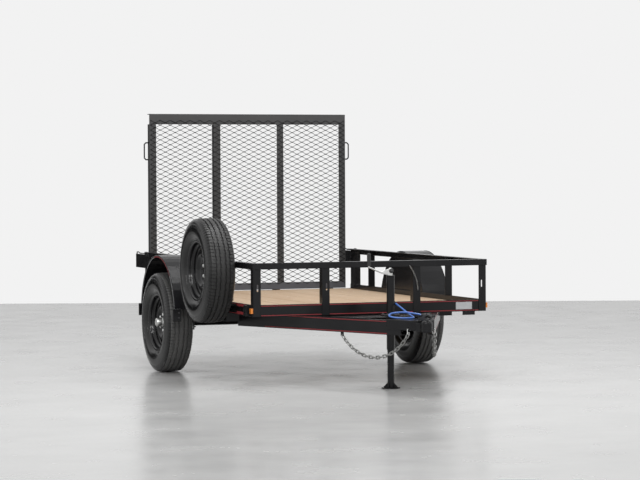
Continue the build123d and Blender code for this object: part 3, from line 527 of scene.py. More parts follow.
class Shape:
    """Collects faces in one mesh, in metres, and turns them into a finished piece."""

    def __init__(self, name: str) -> None:
        """Start an empty mesh.

        Args:
            name: Name of the piece.
        """
        self.name = name
        self.bm = bmesh.new()
        self.index = 0

    def face(self, corners: Sequence[bmesh.types.BMVert]) -> None:
        """Add one face in the finish being used; corners that coincide are dropped.

        Args:
            corners: Corners in order.
        """
        unique = list(dict.fromkeys(corners))
        if len(unique) > 2:
            self.bm.faces.new(unique).material_index = self.index

    def skin(self, rings: Sequence[Sequence[Vector]], loop: bool = False) -> None:
        """Join rings of points into a closed body.

        Args:
            rings: Cross-sections with equal numbers of corners; one point alone is a tip.
            loop: Whether the last ring joins the first.
        """
        made = [[self.bm.verts.new(point) for point in ring] for ring in rings]
        after = made[1:] + made[:1] if loop else made[1:]
        for low, high in zip(made, after):
            for corner in range(max(len(low), len(high))):
                following = corner + 1
                self.face((low[corner % len(low)], low[following % len(low)],
                           high[following % len(high)], high[corner % len(high)]))
        if not loop:
            self.face(tuple(reversed(made[0])))
            self.face(made[-1])

    def turn(self, origin: Vector, axis: Vector, profile: Outline, steps: int,
             loop: bool = False) -> None:
        """Turn a section round an axis.

        Args:
            origin: Point on the axis, in metres.
            axis: Direction of the axis.
            profile: Distance along the axis and radius, in millimetres.
            steps: Corners in each ring.
            loop: Whether the section closes on itself like a rim's.
        """
        axis = axis.normalized()
        right = axis.orthogonal().normalized()
        ahead = axis.cross(right)
        rings = []
        for along, radius in profile:
            middle = origin + axis * along * MM
            corners = ring_of(radius, steps) if radius > 0.0 else [(0.0, 0.0)]
            rings.append([middle + (right * u + ahead * v) * MM for u, v in corners])
        self.skin(rings, loop)

    def sweep(self, path: Sequence[Vector], section: Outline, up: Vector,
              loop: bool = False) -> None:
        """Carry a section along a path.

        Args:
            path: Points in metres.
            section: Corners as distance sideways and distance along up, in millimetres.
            up: Direction that stays as near as it can to the section's second axis.
            loop: Whether the path closes on itself.
        """
        rings = []
        count = len(path)
        for index, point in enumerate(path):
            before = path[index - 1] if index or loop else path[0]
            after = path[(index + 1) % count] if index + 1 < count or loop else path[-1]
            along = (after - before).normalized()
            sideways = along.cross(up).normalized()
            lifted = sideways.cross(along)
            rings.append([point + (sideways * u + lifted * v) * MM for u, v in section])
        self.skin(rings, loop)

    def plate(self, origin: Vector, outline: Outline, thick: float, bevel: float) -> None:
        """Upright plate with broken edges, growing along -Y.

        Args:
            origin: Point that the outline is measured from, in metres.
            outline: Corners as distance along X and up, in millimetres.
            thick: Thickness in millimetres.
            bevel: Width of the broken edge in millimetres.
        """
        small = inset(outline, bevel)
        self.skin([[origin + Vector((u, -lift, v)) * MM for u, v in corners]
                   for corners, lift in ((small, 0.0), (outline, bevel),
                                         (outline, thick - bevel), (small, thick))])

    def block(self, xs: Pair, backs: Pair, zs: Pair, bevel: float) -> None:
        """Straight block with broken edges, in millimetres.

        Args:
            xs: Two values of X, in either order.
            backs: Distance back of the front and the rear.
            zs: Bottom and top.
            bevel: Width of the broken edge.
        """
        wide, tall = max(xs) - min(xs), zs[1] - zs[0]
        outline = [(0, 0), (wide, 0), (wide, tall), (0, tall)]
        self.plate(spot(min(xs), backs[1], zs[0]), outline, backs[1] - backs[0], bevel)

    def finish(self, body: str, materials: Sequence[Material],
               hides: Iterable[str] = (), sharp: float = 35.0) -> bpy.types.Object:
        """Close the mesh, shade it and put it on a body.

        Args:
            body: The body that the piece rides on.
            materials: Its finishes, by face index.
            hides: CAD nodes that the piece stands for.
            sharp: Angle in degrees above which an edge stays sharp.

        Returns:
            The new object.
        """
        bmesh.ops.recalc_face_normals(self.bm, faces=self.bm.faces)
        mesh = bpy.data.meshes.new(self.name)
        self.bm.to_mesh(mesh)
        self.bm.free()
        for material in materials:
            mesh.materials.append(material)
        mesh.shade_smooth()
        mesh.set_sharp_from_angle(angle=math.radians(sharp))
        piece = placed(self.name, mesh)
        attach(piece, body)
        hidden = list(hides)
        if hidden:
            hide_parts(*hidden)
        log.info("%s: %d faces on %s", self.name, len(mesh.polygons), body)
        return piece


@dataclass(frozen=True)
class Bolt:
    """Washer and hexagon head, each as distance off the face and radius in millimetres."""

    washer: tuple[Pair, ...]
    washer_steps: int
    head: tuple[Pair, ...]

    def drive(self, shape: Shape, place: Vector, axis: Vector) -> None:
        """Add the bolt to a piece, its head along the axis."""
        shape.turn(place, axis, self.washer, self.washer_steps)
        shape.turn(place, axis, self.head, HEXAGON)


# ---- stage --------------------------------------------------------------------------------


@dataclass(frozen=True)
class Lamp:
    """Rectangular lamp."""

    name: str
    place: Triple
    size: Pair
    watts: float

    def hang(self, target: Triple) -> None:
        """Put the lamp in the scene, facing the target.

        Args:
            target: Point in metres that the lamp faces.
        """
        light = bpy.data.lights.new(self.name, "AREA")
        light.shape = "RECTANGLE"
        light.size, light.size_y = self.size
        light.energy = self.watts
        aim = (Vector(target) - Vector(self.place)).to_track_quat("-Z", "Y")
        holder = placed(self.name, light)
        holder.matrix_world = Matrix.Translation(self.place) @ aim.to_matrix().to_4x4()


@dataclass
class Studio:
    """Camera, lights, floor and backdrop."""

    camera_place: Triple = (-5.6603, -14.9790, 1.3762)
    azimuth: float = -20.58
    elevation: float = 1.578
    roll: float = -0.29
    focal_pixels: float = 2344.97
    image_width: float = 640.0
    image_height: float = 480.0
    centre_row: float = 237.25
    floor_far: float = 8.9
    floor_side: float = 14.0
    backdrop: float = 0.888
    fill: float = 0.55
    card_toward: Triple = (-0.31, 0.95, 0.0)
    card_cosines: Pair = (0.955, 0.982)
    target: Triple = (0.0, 0.0, 0.6)
    lamps: tuple[Lamp, ...] = (
        Lamp("overhead", (0.5, -1.0, 5.5), (6.0, 6.0), 20.0),
        Lamp("strip_left", (-0.9, -1.5, 5.0), (0.14, 7.0), 130.0),
        Lamp("strip_right", (1.0, -1.5, 5.0), (0.14, 7.0), 80.0),
        Lamp("front", (-3.2, -9.2, 4.8), (4.5, 1.0), 230.0),
    )

    def shoot(self) -> None:
        """Create the camera and make it the scene's own."""
        turn, lift, lean = (math.radians(a) for a in (self.azimuth, self.elevation, self.roll))
        behind = Vector((math.sin(turn) * math.cos(lift), -math.cos(turn) * math.cos(lift),
                         math.sin(lift)))
        right = (-behind).cross(ALONG_Z).normalized()
        up = right.cross(-behind)
        rolled_right = math.cos(lean) * right + math.sin(lean) * up
        rolled_up = -math.sin(lean) * right + math.cos(lean) * up
        data = bpy.data.cameras.new("camera")
        data.sensor_width = 36.0
        data.lens = self.focal_pixels / self.image_width * data.sensor_width
        data.shift_y = (self.centre_row - self.image_height / 2) / self.image_width
        data.clip_end = 200.0
        camera = placed("camera", data)
        axes = Matrix((rolled_right, rolled_up, behind)).transposed()
        camera.matrix_world = Matrix.Translation(self.camera_place) @ axes.to_4x4()
        bpy.context.scene.camera = camera
        bpy.context.scene.view_settings.view_transform = "Standard"

    def light(self) -> None:
        """Bright world, seen directly and in mirrors, over a weaker fill, and the lamps."""
        world = bpy.data.worlds.new("studio")
        bpy.context.scene.world = world
        world.use_nodes = True
        sky = Nodes(world.node_tree)
        rays = sky.add("ShaderNodeLightPath").outputs
        seen_by = sky.math("MAXIMUM", rays["Is Camera Ray"], rays["Is Glossy Ray"])
        seen_by = sky.math("MAXIMUM", seen_by, rays["Is Transmission Ray"])
        fill = sky.add("ShaderNodeBackground", {"Color": (1.0, 1.0, 1.0, 1.0),
                                                "Strength": self.fill})
        seen = sky.add("ShaderNodeBackground", {
            "Color": (self.backdrop, self.backdrop, self.backdrop, 1.0),
            "Strength": self.past_card(sky, rays["Is Glossy Ray"]),
        })
        mix = sky.add("ShaderNodeMixShader", {0: seen_by, 1: fill.outputs[0], 2: seen.outputs[0]})
        sky.add("ShaderNodeOutputWorld", {0: mix.outputs[0]})
        for lamp in self.lamps:
            lamp.hang(self.target)

    def past_card(self, sky: Nodes, glossy: Socket) -> Socket:
        """Darken the part of the world that the left sides of the trailer mirror.

        Args:
            sky: Node tree of the world.
            glossy: Socket that is one for a mirrored ray.

        Returns:
            Strength of the world, zero for a mirrored ray that meets the card.
        """
        view = sky.add("ShaderNodeTexCoord").outputs["Generated"]
        middle = Vector(self.card_toward).normalized()
        toward = sky.add("ShaderNodeVectorMath", {0: view, 1: middle},
                         operation="DOT_PRODUCT").outputs["Value"]
        low, high = self.card_cosines
        card = sky.add("ShaderNodeMapRange", {"Value": toward, "From Min": low, "From Max": high})
        return sky.math("SUBTRACT", 1.0, sky.math("MULTIPLY", card.outputs[0], glossy))

    def lay_floor(self, concrete: Material) -> None:
        """Floor that ends in a straight line behind the trailer.

        Args:
            concrete: Finish of the floor.
        """
        mesh = bpy.data.meshes.new("floor")
        turn = Matrix.Rotation(math.radians(self.azimuth), 3, "Z")
        corners = ((-1, -1), (1, -1), (1, 1), (-1, 1))
        points = [turn @ Vector((x * self.floor_side, y * self.floor_far, 0)) for x, y in corners]
        mesh.from_pydata([tuple(point) for point in points], [], [(0, 1, 2, 3)])
        mesh.materials.append(concrete)
        placed("floor", mesh)


# ---- wiring lead --------------------------------------------------------------------------


@dataclass
class WiringLead:
    """The blue lead that drops from the jack tube to the coupler and loops back to its plug."""

    diameter: float = 0.011
    route: tuple[Triple, ...] = (
        (32.0, -338.0, 540.0), (33.0, -420.0, 519.0), (30.0, -505.0, 499.0),
        (27.0, -588.0, 481.5), (22.0, -660.0, 471.0), (-6.0, -706.0, 470.8),
        (-62.0, -708.0, 470.8), (-118.0, -694.0, 473.0), (-148.0, -652.0, 482.0),
        (-120.0, -607.0, 495.0), (-62.0, -597.0, 501.0), (-6.0, -614.0, 501.0),
        (30.0, -652.0, 494.0), (62.0, -680.0, 487.5),
    )

    def lay(self, finishes: Finishes) -> None:
        """Args:
            finishes: The trailer's finishes.
        """
        curve = bpy.data.curves.new("wiring_lead", "CURVE")
        curve.dimensions = "3D"
        curve.bevel_depth = self.diameter / 2
        curve.bevel_resolution = 4
        curve.resolution_u = 12
        curve.use_fill_caps = True
        points = [spot(*place) for place in self.route]
        spline = curve.splines.new("NURBS")
        spline.points.add(len(points) - 1)
        for point, place in zip(spline.points, points):
            point.co = (*place, 1.0)
        spline.order_u = 3
        spline.use_endpoint_u = True
        curve.materials.append(finishes.cord)
        lead = placed("wiring_lead", curve)
        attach(lead, "chassis")
        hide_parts("wiring_cord")
        log.info("wiring_lead: %d points on chassis", len(points))


# ---- wheels -------------------------------------------------------------------------------


@dataclass(frozen=True)
class Mount:
    """Where a wheel sits, and the body that it rides on."""

    label: str
    centre: Vector
    out: int
    body: str


@dataclass
class Tyre:
    """Ribbed trailer tyre with cuts in its outer ribs and fine ribs on the sidewalls."""

    width: float = 202.0
    radius: float = 344.0
    crown_drop: float = 3.0
    crown_half: float = 60.0
    groove_x: tuple[float, ...] = (-47.0, -18.0, 18.0, 47.0)
    groove_half: float = 4.0
    groove_deep: float = 8.5
    zigzag: float = 1.3
    pitches: int = 90
    slant: float = 0.9
    cut_lean: float = 0.4
    rib_half: float = 58.0
    road_half: float = 76.0
    road_radius: float = 300.0
    # share of a pitch, and how much of its cut each column shows there
    columns: tuple[Pair, ...] = ((0.0, 0.0), (0.74, 0.0), (0.79, 1.0), (0.95, 1.0))
    # X in half-grooves, depth in grooves, cut
    groove_rows: tuple[Triple, ...] = (
        (-2.5, 0.0, 0.0), (-2.2, 0.0, 4.5), (-1.0, 0.0, 4.5), (-0.75, 1.0, 0.0),
        (0.75, 1.0, 0.0), (1.0, 0.0, 4.5), (2.2, 0.0, 4.5), (2.5, 0.0, 0.0),
    )
    # X, radius and cut, from the bead to the tread's edge
    side_rows: tuple[Triple, ...] = (
        (66.0, 192.0, 0.0), (73.0, 195.0, 0.0), (78.5, 203.5, 0.0), (80.5, 207.0, 0.0),
        (82.0, 207.5, 0.0), (88.0, 217.0, 0.0), (93.0, 228.0, 0.0), (97.0, 241.0, 0.0),
        (97.9, 241.2, 0.0), (99.7, 252.0, 0.0), (101.0, 264.0, 0.0), (100.4, 276.0, 0.0),
        (98.6, 288.0, 0.0), (97.8, 288.4, 0.0), (95.8, 298.0, 0.0), (94.4, 303.0, 0.8),
        (92.0, 312.0, 1.1), (88.5, 321.0, 1.4), (84.0, 329.0, 2.0), (79.0, 335.0, 3.0),
        (74.0, 338.6, 4.0), (68.0, 340.6, 5.0), (58.0, 341.6, 5.0),
    )

    def rows(self) -> list[Triple]:
        """List X, radius and cut of the whole section, from one bead to the other.

        Returns:
            The rows in order round the section.
        """
        tread = []
        for middle in self.groove_x:
            for offset, sink, cut in self.groove_rows:
                x = middle + offset * self.groove_half
                crown = self.radius - self.crown_drop * (x / self.crown_half) ** 2
                tread.append((x, crown - sink * self.groove_deep, cut))
        left = [(-x, radius, cut) for x, radius, cut in self.side_rows]
        return [*left, *tread, *reversed(self.side_rows)]

    def build(self, mount: Mount, materials: Sequence[Material]) -> None:
        """Build one tyre.

        Args:
            mount: Where the tyre sits.
            materials: Finish of the sidewalls and of the tread.
        """
        shape = Shape(f"tread_{mount.label}")
        rows = self.rows()
        grid = []
        for index in range(self.pitches):
            swing = self.zigzag * (2 * (index % 2) - 1)
            for share, shown in self.columns:
                column = []
                for x, radius, whole_cut in rows:
                    turn = (index + share + self.slant * x / self.width) / self.pitches
                    cut = whole_cut * shown
                    lean = -math.copysign(cut * self.cut_lean, x)
                    shift = swing if abs(x) < self.rib_half else lean
                    column.append(around(mount.centre, x + shift, radius - cut, math.tau * turn))
                grid.append(column)
        shape.skin(grid, loop=True)
        # Faces that touch the road take the second, lighter finish: partly dust, partly painted
        # light.
        on_road = [abs(x) < self.road_half and radius > self.road_radius for x, radius, _ in rows]
        for number, face in enumerate(shape.bm.faces):
            face.material_index = int(on_road[number % len(rows)])
        shape.finish(mount.body, materials, [f"tyre_{mount.label}"], sharp=28.0)


@dataclass
class SteelWheel:
    """Pressed steel wheel: rolled rim with a dropped centre, and a dished disc with windows."""

    windows: int = 8
    window_span: float = 0.62
    window_rows: tuple[int, int] = (10, 15)
    window_edge: float = 0.999
    sheet: float = 4.5
    disc_out: float = 14.0
    steps: int = 128
    # X and radius
    rim_profile: tuple[Pair, ...] = (
        (77.0, 199.0), (76.5, 202.0), (74.5, 203.0), (72.0, 201.5), (70.5, 197.0), (69.0, 189.5),
        (62.0, 187.5), (47.0, 186.0), (40.0, 182.0), (33.0, 170.5), (26.0, 168.0), (-20.0, 168.0),
        (-27.0, 170.5), (-36.0, 182.0), (-46.0, 186.0), (-62.0, 187.5), (-69.0, 189.5),
        (-70.5, 197.0), (-72.0, 201.5), (-74.5, 203.0), (-76.5, 202.0), (-77.0, 199.0),
        (-74.0, 187.0), (-71.0, 184.2), (-62.0, 183.0), (-46.0, 181.4), (-39.0, 178.0),
        (-30.0, 166.5), (-22.0, 163.6), (28.0, 163.6), (35.5, 166.5), (43.0, 178.0),
        (49.0, 181.4), (62.0, 183.0), (71.0, 184.2), (74.0, 187.0),
    )
    # radius and how far the disc stands out there
    disc_rows: tuple[Pair, ...] = (
        (42.0, 1.5), (44.0, 4.0), (50.0, 5.0), (76.0, 5.0), (82.0, 6.0), (90.0, 12.0),
        (98.0, 21.0), (104.0, 26.0), (109.0, 27.5), (114.0, 26.5), (118.0, 24.0), (127.0, 18.5),
        (136.0, 13.5), (145.0, 10.0), (150.0, 9.0), (157.0, 9.0), (160.5, 10.5), (163.8, 14.0),
        (164.0, 26.0),
    )

    def press_disc(self, shape: Shape, mount: Mount) -> None:
        """Press the disc: a polar grid with rounded windows left out, then given thickness.

        Args:
            shape: The wheel.
            mount: Where it sits.
        """
        per_window = self.steps // self.windows
        half = int(per_window * self.window_span / 2)
        first, last = self.window_rows
        middle = self.disc_rows[(first + last) // 2][0]
        offsets = [step % per_window - per_window // 2 for step in range(self.steps)]
        grid = []
        for row, (radius, stand) in enumerate(self.disc_rows):
            v = abs(2 * row - first - last) / (last - first)
            ring = []
            for step, offset in enumerate(offsets):
                # a window's edge is drawn in from a rectangle to an oval with full corners
                u = abs(offset) / half
                on_edge = max(u, v) > self.window_edge and u <= 1.0 and v <= 1.0
                squeeze = (u ** 4 + v ** 4) ** -0.25 if on_edge else 1.0
                reach = middle + (radius - middle) * squeeze
                angle = math.tau * (step + offset * (squeeze - 1.0)) / self.steps
                ring.append(shape.bm.verts.new(
                    around(mount.centre, mount.out * (stand + self.disc_out), reach, angle)))
            grid.append(ring)
        faces = []
        for row, (ring, after) in enumerate(zip(grid, grid[1:])):
            for step, offset in enumerate(offsets):
                if first <= row < last and -half <= offset < half:
                    continue
                following = (step + 1) % self.steps
                faces.append(shape.bm.faces.new(
                    (ring[step], ring[following], after[following], after[step])))
        loose = [vert for ring in grid for vert in ring if not vert.link_faces]
        bmesh.ops.delete(shape.bm, geom=loose, context="VERTS")
        bmesh.ops.recalc_face_normals(shape.bm, faces=faces)
        if sum(face.normal.x for face in faces) * mount.out < 0:
            bmesh.ops.reverse_faces(shape.bm, faces=faces)
        bmesh.ops.solidify(shape.bm, geom=faces, thickness=self.sheet * MM)

    def build(self, mount: Mount, finishes: Finishes) -> None:
        """Build one wheel whose dished face looks outwards.

        Args:
            mount: Where the wheel sits.
            finishes: The trailer's finishes.
        """
        shape = Shape(f"steel_wheel_{mount.label}")
        self.press_disc(shape, mount)
        shape.turn(mount.centre, ALONG_X * mount.out, self.rim_profile, self.steps, loop=True)
        shape.finish(mount.body, [finishes.wheel], [f"rim_{mount.label}"],
                     sharp=40.0)


@dataclass
class Hub:
    """Hub behind the disc, its bright bearing cap and the wheel nuts."""

    stud_ring: float = 57.15
    studs: int = 5
    nut_seat: float = 19.0
    nut_height: float = 21.0
    nut_flat: float = 21.0
    # distance outwards along the axle and radius
    drum: tuple[Pair, ...] = (
        (-62.0, 18.0), (-62.0, 34.0), (-59.0, 36.0), (-14.0, 38.0), (-12.5, 62.0), (-12.0, 76.0),
        (13.0, 76.0), (13.0, 44.0), (16.0, 33.5), (30.0, 32.6), (36.0, 32.6),
    )
    cap: tuple[Pair, ...] = (
        (34.0, 32.0), (37.0, 33.6), (39.5, 32.0), (41.0, 31.0), (74.0, 30.2), (77.5, 28.6),
        (79.0, 26.0), (78.0, 22.0), (77.4, 18.0), (79.4, 16.0), (80.0, 10.0), (79.0, 5.0),
        (79.0, 0.0),
    )

    def nut(self, shape: Shape, centre: Vector, out: int, angle: float, height: float) -> None:
        """Add a closed wheel nut on a stud: a cone seat, six flats and a domed end.

        Args:
            shape: The piece that the nut is part of.
            centre: Centre of the wheel.
            out: Direction of the nut along X.
            angle: The stud's place round the wheel.
            height: Height of the nut over its seat, in millimetres.
        """
        place = around(centre, out * self.nut_seat, self.stud_ring, angle)
        corner = self.nut_flat / 2 / math.cos(math.pi / HEXAGON)
        cone = [(-2, 0), (-2, 8.5), (1.5, 11.4), (3, 11.4)]
        flats = [(2.5, 0), (2.5, corner - 0.6), (3.1, corner), (height - 5, corner),
                 (height - 3.4, corner - 1.2)]
        dome = [(height - 4.2, 9.8), (height - 2.0, 8.6), (height - 0.6, 6.0), (height, 2.6),
                (height + 0.2, 0)]
        for profile, steps in ((cone, 24), (flats, HEXAGON), (dome, 24)):
            shape.turn(place, ALONG_X * out, profile, steps)

    def build(self, mount: Mount, finishes: Finishes) -> None:
        """Build one hub with its cap and nuts.

        Args:
            mount: Where the wheel sits.
            finishes: The trailer's finishes.
        """
        shape = Shape(f"hub_cap_{mount.label}")
        for shape.index, profile in ((1, self.drum), (2, self.cap)):
            shape.turn(mount.centre, ALONG_X * mount.out, profile, 48)
        shape.index = 0
        for stud in range(self.studs):
            angle = math.pi + math.tau * stud / self.studs
            self.nut(shape, mount.centre, mount.out, angle, self.nut_height)
        shape.finish(mount.body, [finishes.chrome, finishes.steel, finishes.zinc],
                     [f"hub_{mount.label}"], sharp=32.0)


@dataclass
class Wheels:
    """The two road wheels and the spare."""

    half_track: float = 935.0
    axle_back: float = 1490.0
    axle_z: float = 344.0
    spare: Triple = (-938.0, 564.0, 737.0)
    tyre: Tyre = field(default_factory=Tyre)
    wheel: SteelWheel = field(default_factory=SteelWheel)
    hub: Hub = field(default_factory=Hub)

    def build(self, finishes: Finishes) -> None:
        """Build all three wheels.

        Args:
            finishes: The trailer's finishes.
        """
        for side in Side:
            label = side.name.lower()
            centre = spot(side.value * self.half_track, self.axle_back, self.axle_z)
            mount = Mount(label, centre, side.value, f"wheel_{label}")
            # The road tyres' tread takes a lighter rubber with painted light in it.
            self.tyre.build(mount, [finishes.rubber, finishes.road_tread])
            self.wheel.build(mount, finishes)
            self.hub.build(mount, finishes)
        mount = Mount("spare", spot(*self.spare), Side.LEFT.value, "chassis")
        self.tyre.build(mount, [finishes.rubber, finishes.tread])
        self.wheel.build(mount, finishes)


@dataclass
class SpareCarrier:
    """Strap on the side post, arm and plate that hold the spare on two studs."""

    post_half: float = 813.0
    back: float = 564.0
    z: float = 737.0
    seat: float = 938.0
    strap_half: float = 30.0
    strap_shift: float = 4.0
    strap_z: Pair = (457.0, 760.0)
    strap_thick: float = 13.0
    arm_half: Pair = (24.0, 20.0)     # along Y and Z
    plate_half: Pair = (74.0, 50.0)   # along Y and Z
    plate_thick: float = 6.0
    nut_turns: Pair = (144.0, 216.0)
    nut_height: float = 27.0
    hub: Hub = field(default_factory=Hub)

    def build(self, finishes: Finishes) -> None:
        """Build the bracket and its two nuts.

        Args:
            finishes: The trailer's finishes.
        """
        shape = Shape("spare_bracket")
        strap_x = self.post_half + self.strap_thick
        plate_x = self.seat - self.plate_thick
        strap_back = self.back + self.strap_shift
        shape.block((-strap_x, -self.post_half),
                    (strap_back - self.strap_half, strap_back + self.strap_half),
                    self.strap_z, bevel=2.0)
        for xs, (half_y, half_z), bevel in (((-plate_x, -strap_x), self.arm_half, 2.0),
                                            ((-self.seat, -plate_x), self.plate_half, 1.5)):
            shape.block(xs, (self.back - half_y, self.back + half_y),
                        (self.z - half_z, self.z + half_z), bevel)
        shape.index = 1
        centre = spot(-self.seat, self.back, self.z)
        for turn in self.nut_turns:
            self.hub.nut(shape, centre, Side.LEFT.value, math.radians(turn), self.nut_height)
        shape.finish("chassis", [finishes.enamel, finishes.zinc],
                     ["spare_carrier"], sharp=32.0)


@dataclass
class FenderTrim:
    """Rolled bead, stripe and bolts on the outer edge of each fender."""

    back: float = 1460.0
    z: float = 404.0
    radius: float = 405.0
    outer: float = 1010.5
    end_turn: float = 7.3
    red_turns: Pair = (44.0, 102.0)
    bead: float = 3.0
    bead_in: float = 1.0
    stripe_in: float = 9.0
    stripe_wide: Triple = (9.0, 9.0, 3.0)
    stripe_proud: float = 0.5
    bolt: Bolt = Bolt(((-2, 0), (-2, 6.2), (1.6, 6.2), (1.6, 0)), 16,
                      ((1, 0), (1, 5.0), (5.0, 5.0), (5.8, 3.8), (5.8, 0)))
    bolt_x: float = 986.0
    bolt_face: float = 417.8
    bolt_rows: Pair = (432.0, 398.0)

    def arc(self, x: float, radius: float, start: float, end: float) -> list[Vector]:
        """Follow the lip between two angles measured up from its front end.

        Args:
            x: X of the points.
            radius: Radius from the centre of the fender.
            start: First angle in degrees.
            end: Last angle in degrees.

        Returns:
            The points.
        """
        steps = max(2, int(end - start) // 2)
        turns = [math.radians(start + (end - start) * step / steps) for step in range(steps + 1)]
        return [spot(x, self.back - radius * math.cos(turn), self.z + radius * math.sin(turn))
                for turn in turns]

    def build(self, finishes: Finishes) -> None:
        """Trim both fenders.

        Args:
            finishes: The trailer's finishes.
        """
        shape = Shape("fender_trim")
        turns = (self.end_turn, *self.red_turns, 180.0 - self.end_turn)
        for side in Side:
            out = ALONG_X * side.value
            x = side.value * self.outer
            shape.index = 0
            shape.sweep(self.arc(x, self.radius - self.bead_in, turns[0], turns[-1]),
                        ring_of(self.bead, 8), out)
            for shape.index, start, end, wide in zip((2, 1, 2), turns, turns[1:],
                                                     self.stripe_wide):
                shape.sweep(self.arc(x, self.radius - self.stripe_in, start, end),
                            tape(wide, self.stripe_proud), out)
            shape.index = 3
            for z in self.bolt_rows:
                place = spot(side.value * self.bolt_x, self.back - self.bolt_face, z)
                self.bolt.drive(shape, place, -ALONG_Y)
        shape.finish("chassis", [finishes.enamel, finishes.stripe, finishes.silver,
                                 finishes.steel])


# ---- gate ---------------------------------------------------------------------------------


@dataclass
class ExpandedMesh:
    """The gate's expanded steel: zigzag strands that meet at flat bonds."""

    half_width: float = 764.0
    bottom: float = 542.5
    top: float = 1767.5
    back: float = 2445.5
    across: int = 20
    rows: int = 68
    strand_wide: float = 3.6
    strand_thick: float = 2.2
    bond: float = 11.0
    bond_sink: float = 0.35
    least_step: float = 0.5
    tilt: float = 32.0

    def build(self, finishes: Finishes) -> None:
        """Lay every strand from edge to edge.

        Args:
            finishes: The trailer's finishes.
        """
        shape = Shape("expanded_mesh")
        pitch = self.half_width / self.across
        rise = (self.top - self.bottom) / self.rows
        cos, sin = math.cos(math.radians(self.tilt)), math.sin(math.radians(self.tilt))
        u, v = self.strand_wide / 2, self.strand_thick / 2
        swing = rise / 2 - (u * cos + v * sin) + self.bond_sink
        section = [(b * v * cos - a * u * sin, a * u * cos + b * v * sin)
                   for a, b in ((-1, -1), (1, -1), (1, 1), (-1, 1))]
        bends = []
        for node in range(2 * self.across + 1):
            for end in (-1, 1):
                x = -self.half_width + node * pitch + end * self.bond / 2
                x = max(-self.half_width, min(self.half_width, x))
                if not bends or x - bends[-1][0] >= self.least_step:
                    bends.append((x, node))
        for row in range(self.rows):
            middle = self.bottom + (row + 0.5) * rise
            rings = []
            for x, node in bends:
                height = middle + (swing if (node + row) % 2 else -swing)
                rings.append([spot(x, self.back + y, height + z) for y, z in section])
            shape.skin(rings)
        shape.finish("gate", [finishes.enamel], ["gate_mesh"], sharp=30.0)


# ---- bed ----------------------------------------------------------------------------------


@dataclass
class Deck:
    """Pine boards laid lengthwise, screwed to the cross members."""

    half: float = 797.0
    front: float = 5.0
    rear: float = 2433.0
    bottom: float = 462.0
    top: float = 500.0
    boards: int = 8
    gap: float = 6.0
    round_over: float = 4.0
    sink_step: float = 0.6
    screw_backs: tuple[float, ...] = (28.0, 583.0, 1043.0, 1503.0, 1963.0, 2410.0)
    screw_shares: Pair = (0.2, 0.8)
    screw_stray: Pair = (3.0, 2.0)    # along X and Y
    screw: tuple[Pair, ...] = (
        (-0.1, 0.0), (-0.1, 2.0), (-0.4, 4.9), (0.6, 4.9), (3.0, 2.5), (3.0, 0.0))

    def build(self, finishes: Finishes) -> None:
        """Build the boards in one piece and the screw heads in another.

        Args:
            finishes: The trailer's finishes.
        """
        boards = Shape("boards")
        screws = Shape("deck_screws")
        pitch = (2 * self.half + self.gap) / self.boards
        wide = pitch - self.gap
        stray_x, stray_y = self.screw_stray
        for index in range(self.boards):
            left = -self.half + index * pitch
            sink = self.sink_step * ((index * 5) % 3)
            half_tall = (self.top - self.bottom - sink) / 2
            outline = [(u + wide / 2, v + half_tall)
                       for u, v in rounded(wide / 2, half_tall, self.round_over, 3)]
            boards.plate(spot(left, self.rear, self.bottom), outline, self.rear - self.front,
                         bevel=1.5)
            for back in self.screw_backs:
                for share in self.screw_shares:
                    # waves out of step with the rows put each screw a little off its line
                    x = left + share * wide + stray_x * math.sin(7.0 * index + back + 5.0 * share)
                    y = back + stray_y * math.cos(3.0 * index + back)
                    screws.turn(spot(x, y, self.top - sink), -ALONG_Z, self.screw, 12)
        boards.finish("chassis", [finishes.pine], ["deck_boards"], sharp=30.0)
        screws.finish("chassis", [finishes.zinc])


@dataclass(frozen=True)
class Beams:
    """Outer faces of the two tongue beams, which draw together towards the coupler."""

    turn: float = 25.0
    nose: Pair = (-760.0, 112.0)      # distance back and X

    def outward(self, side: Side) -> Vector:
        """Direction that a beam's outer face looks in."""
        turn = math.radians(self.turn)
        return Vector((side.value * math.cos(turn), -math.sin(turn), 0))

    def beside(self, side: Side, back: float, out: float, z: float) -> Vector:
        """Point beside a beam, standing off its outer face."""
        x = self.nose[1] + (back - self.nose[0]) * math.tan(math.radians(self.turn))
        return spot(side.value * x, back, z) + self.outward(side) * out * MM


@dataclass
class Pinstripes:
    """Narrow vinyl lines along the edges of the frame and the tongue."""

    wide: float = 4.5
    proud: float = 0.35
    edge: float = 7.5
    frame_half: float = 808.0
    frame_z: Pair = (457.0, 533.0)
    front_runs: tuple[Pair, ...] = ((-760.0, -345.0), (-291.0, 291.0), (345.0, 760.0))
    side_runs: tuple[Pair, ...] = ((3.0, 546.0), (601.0, 1958.0), (2013.0, 2248.0))
    tongue_run: Pair = (-655.0, 330.0)
    tongue_z: Pair = (367.0, 457.0)
    beams: Beams = Beams()

    def rows(self, zs: Pair) -> Pair:
        """Heights of the lines inside the edges of a face."""
        return zs[0] + self.edge, zs[1] - self.edge

    def build(self, finishes: Finishes) -> None:
        """Lay every stripe.

        Args:
            finishes: The trailer's finishes.
        """
        shape = Shape("pinstripes")
        lines = []
        for z in self.rows(self.frame_z):
            lines += [([spot(x, 0, z) for x in run], -ALONG_Y) for run in self.front_runs]
            for side in Side:
                x = side.value * self.frame_half
                lines += [([spot(x, back, z) for back in run], ALONG_X * side.value)
                          for run in self.side_runs]
        for side in Side:
            for z in self.rows(self.tongue_z):
                ends = [self.beams.beside(side, back, 0.0, z) for back in self.tongue_run]
                lines.append((ends, self.beams.outward(side)))
        for ends, out in lines:
            shape.sweep(ends, tape(self.wide, self.proud), out)
        shape.finish("chassis", [finishes.stripe])


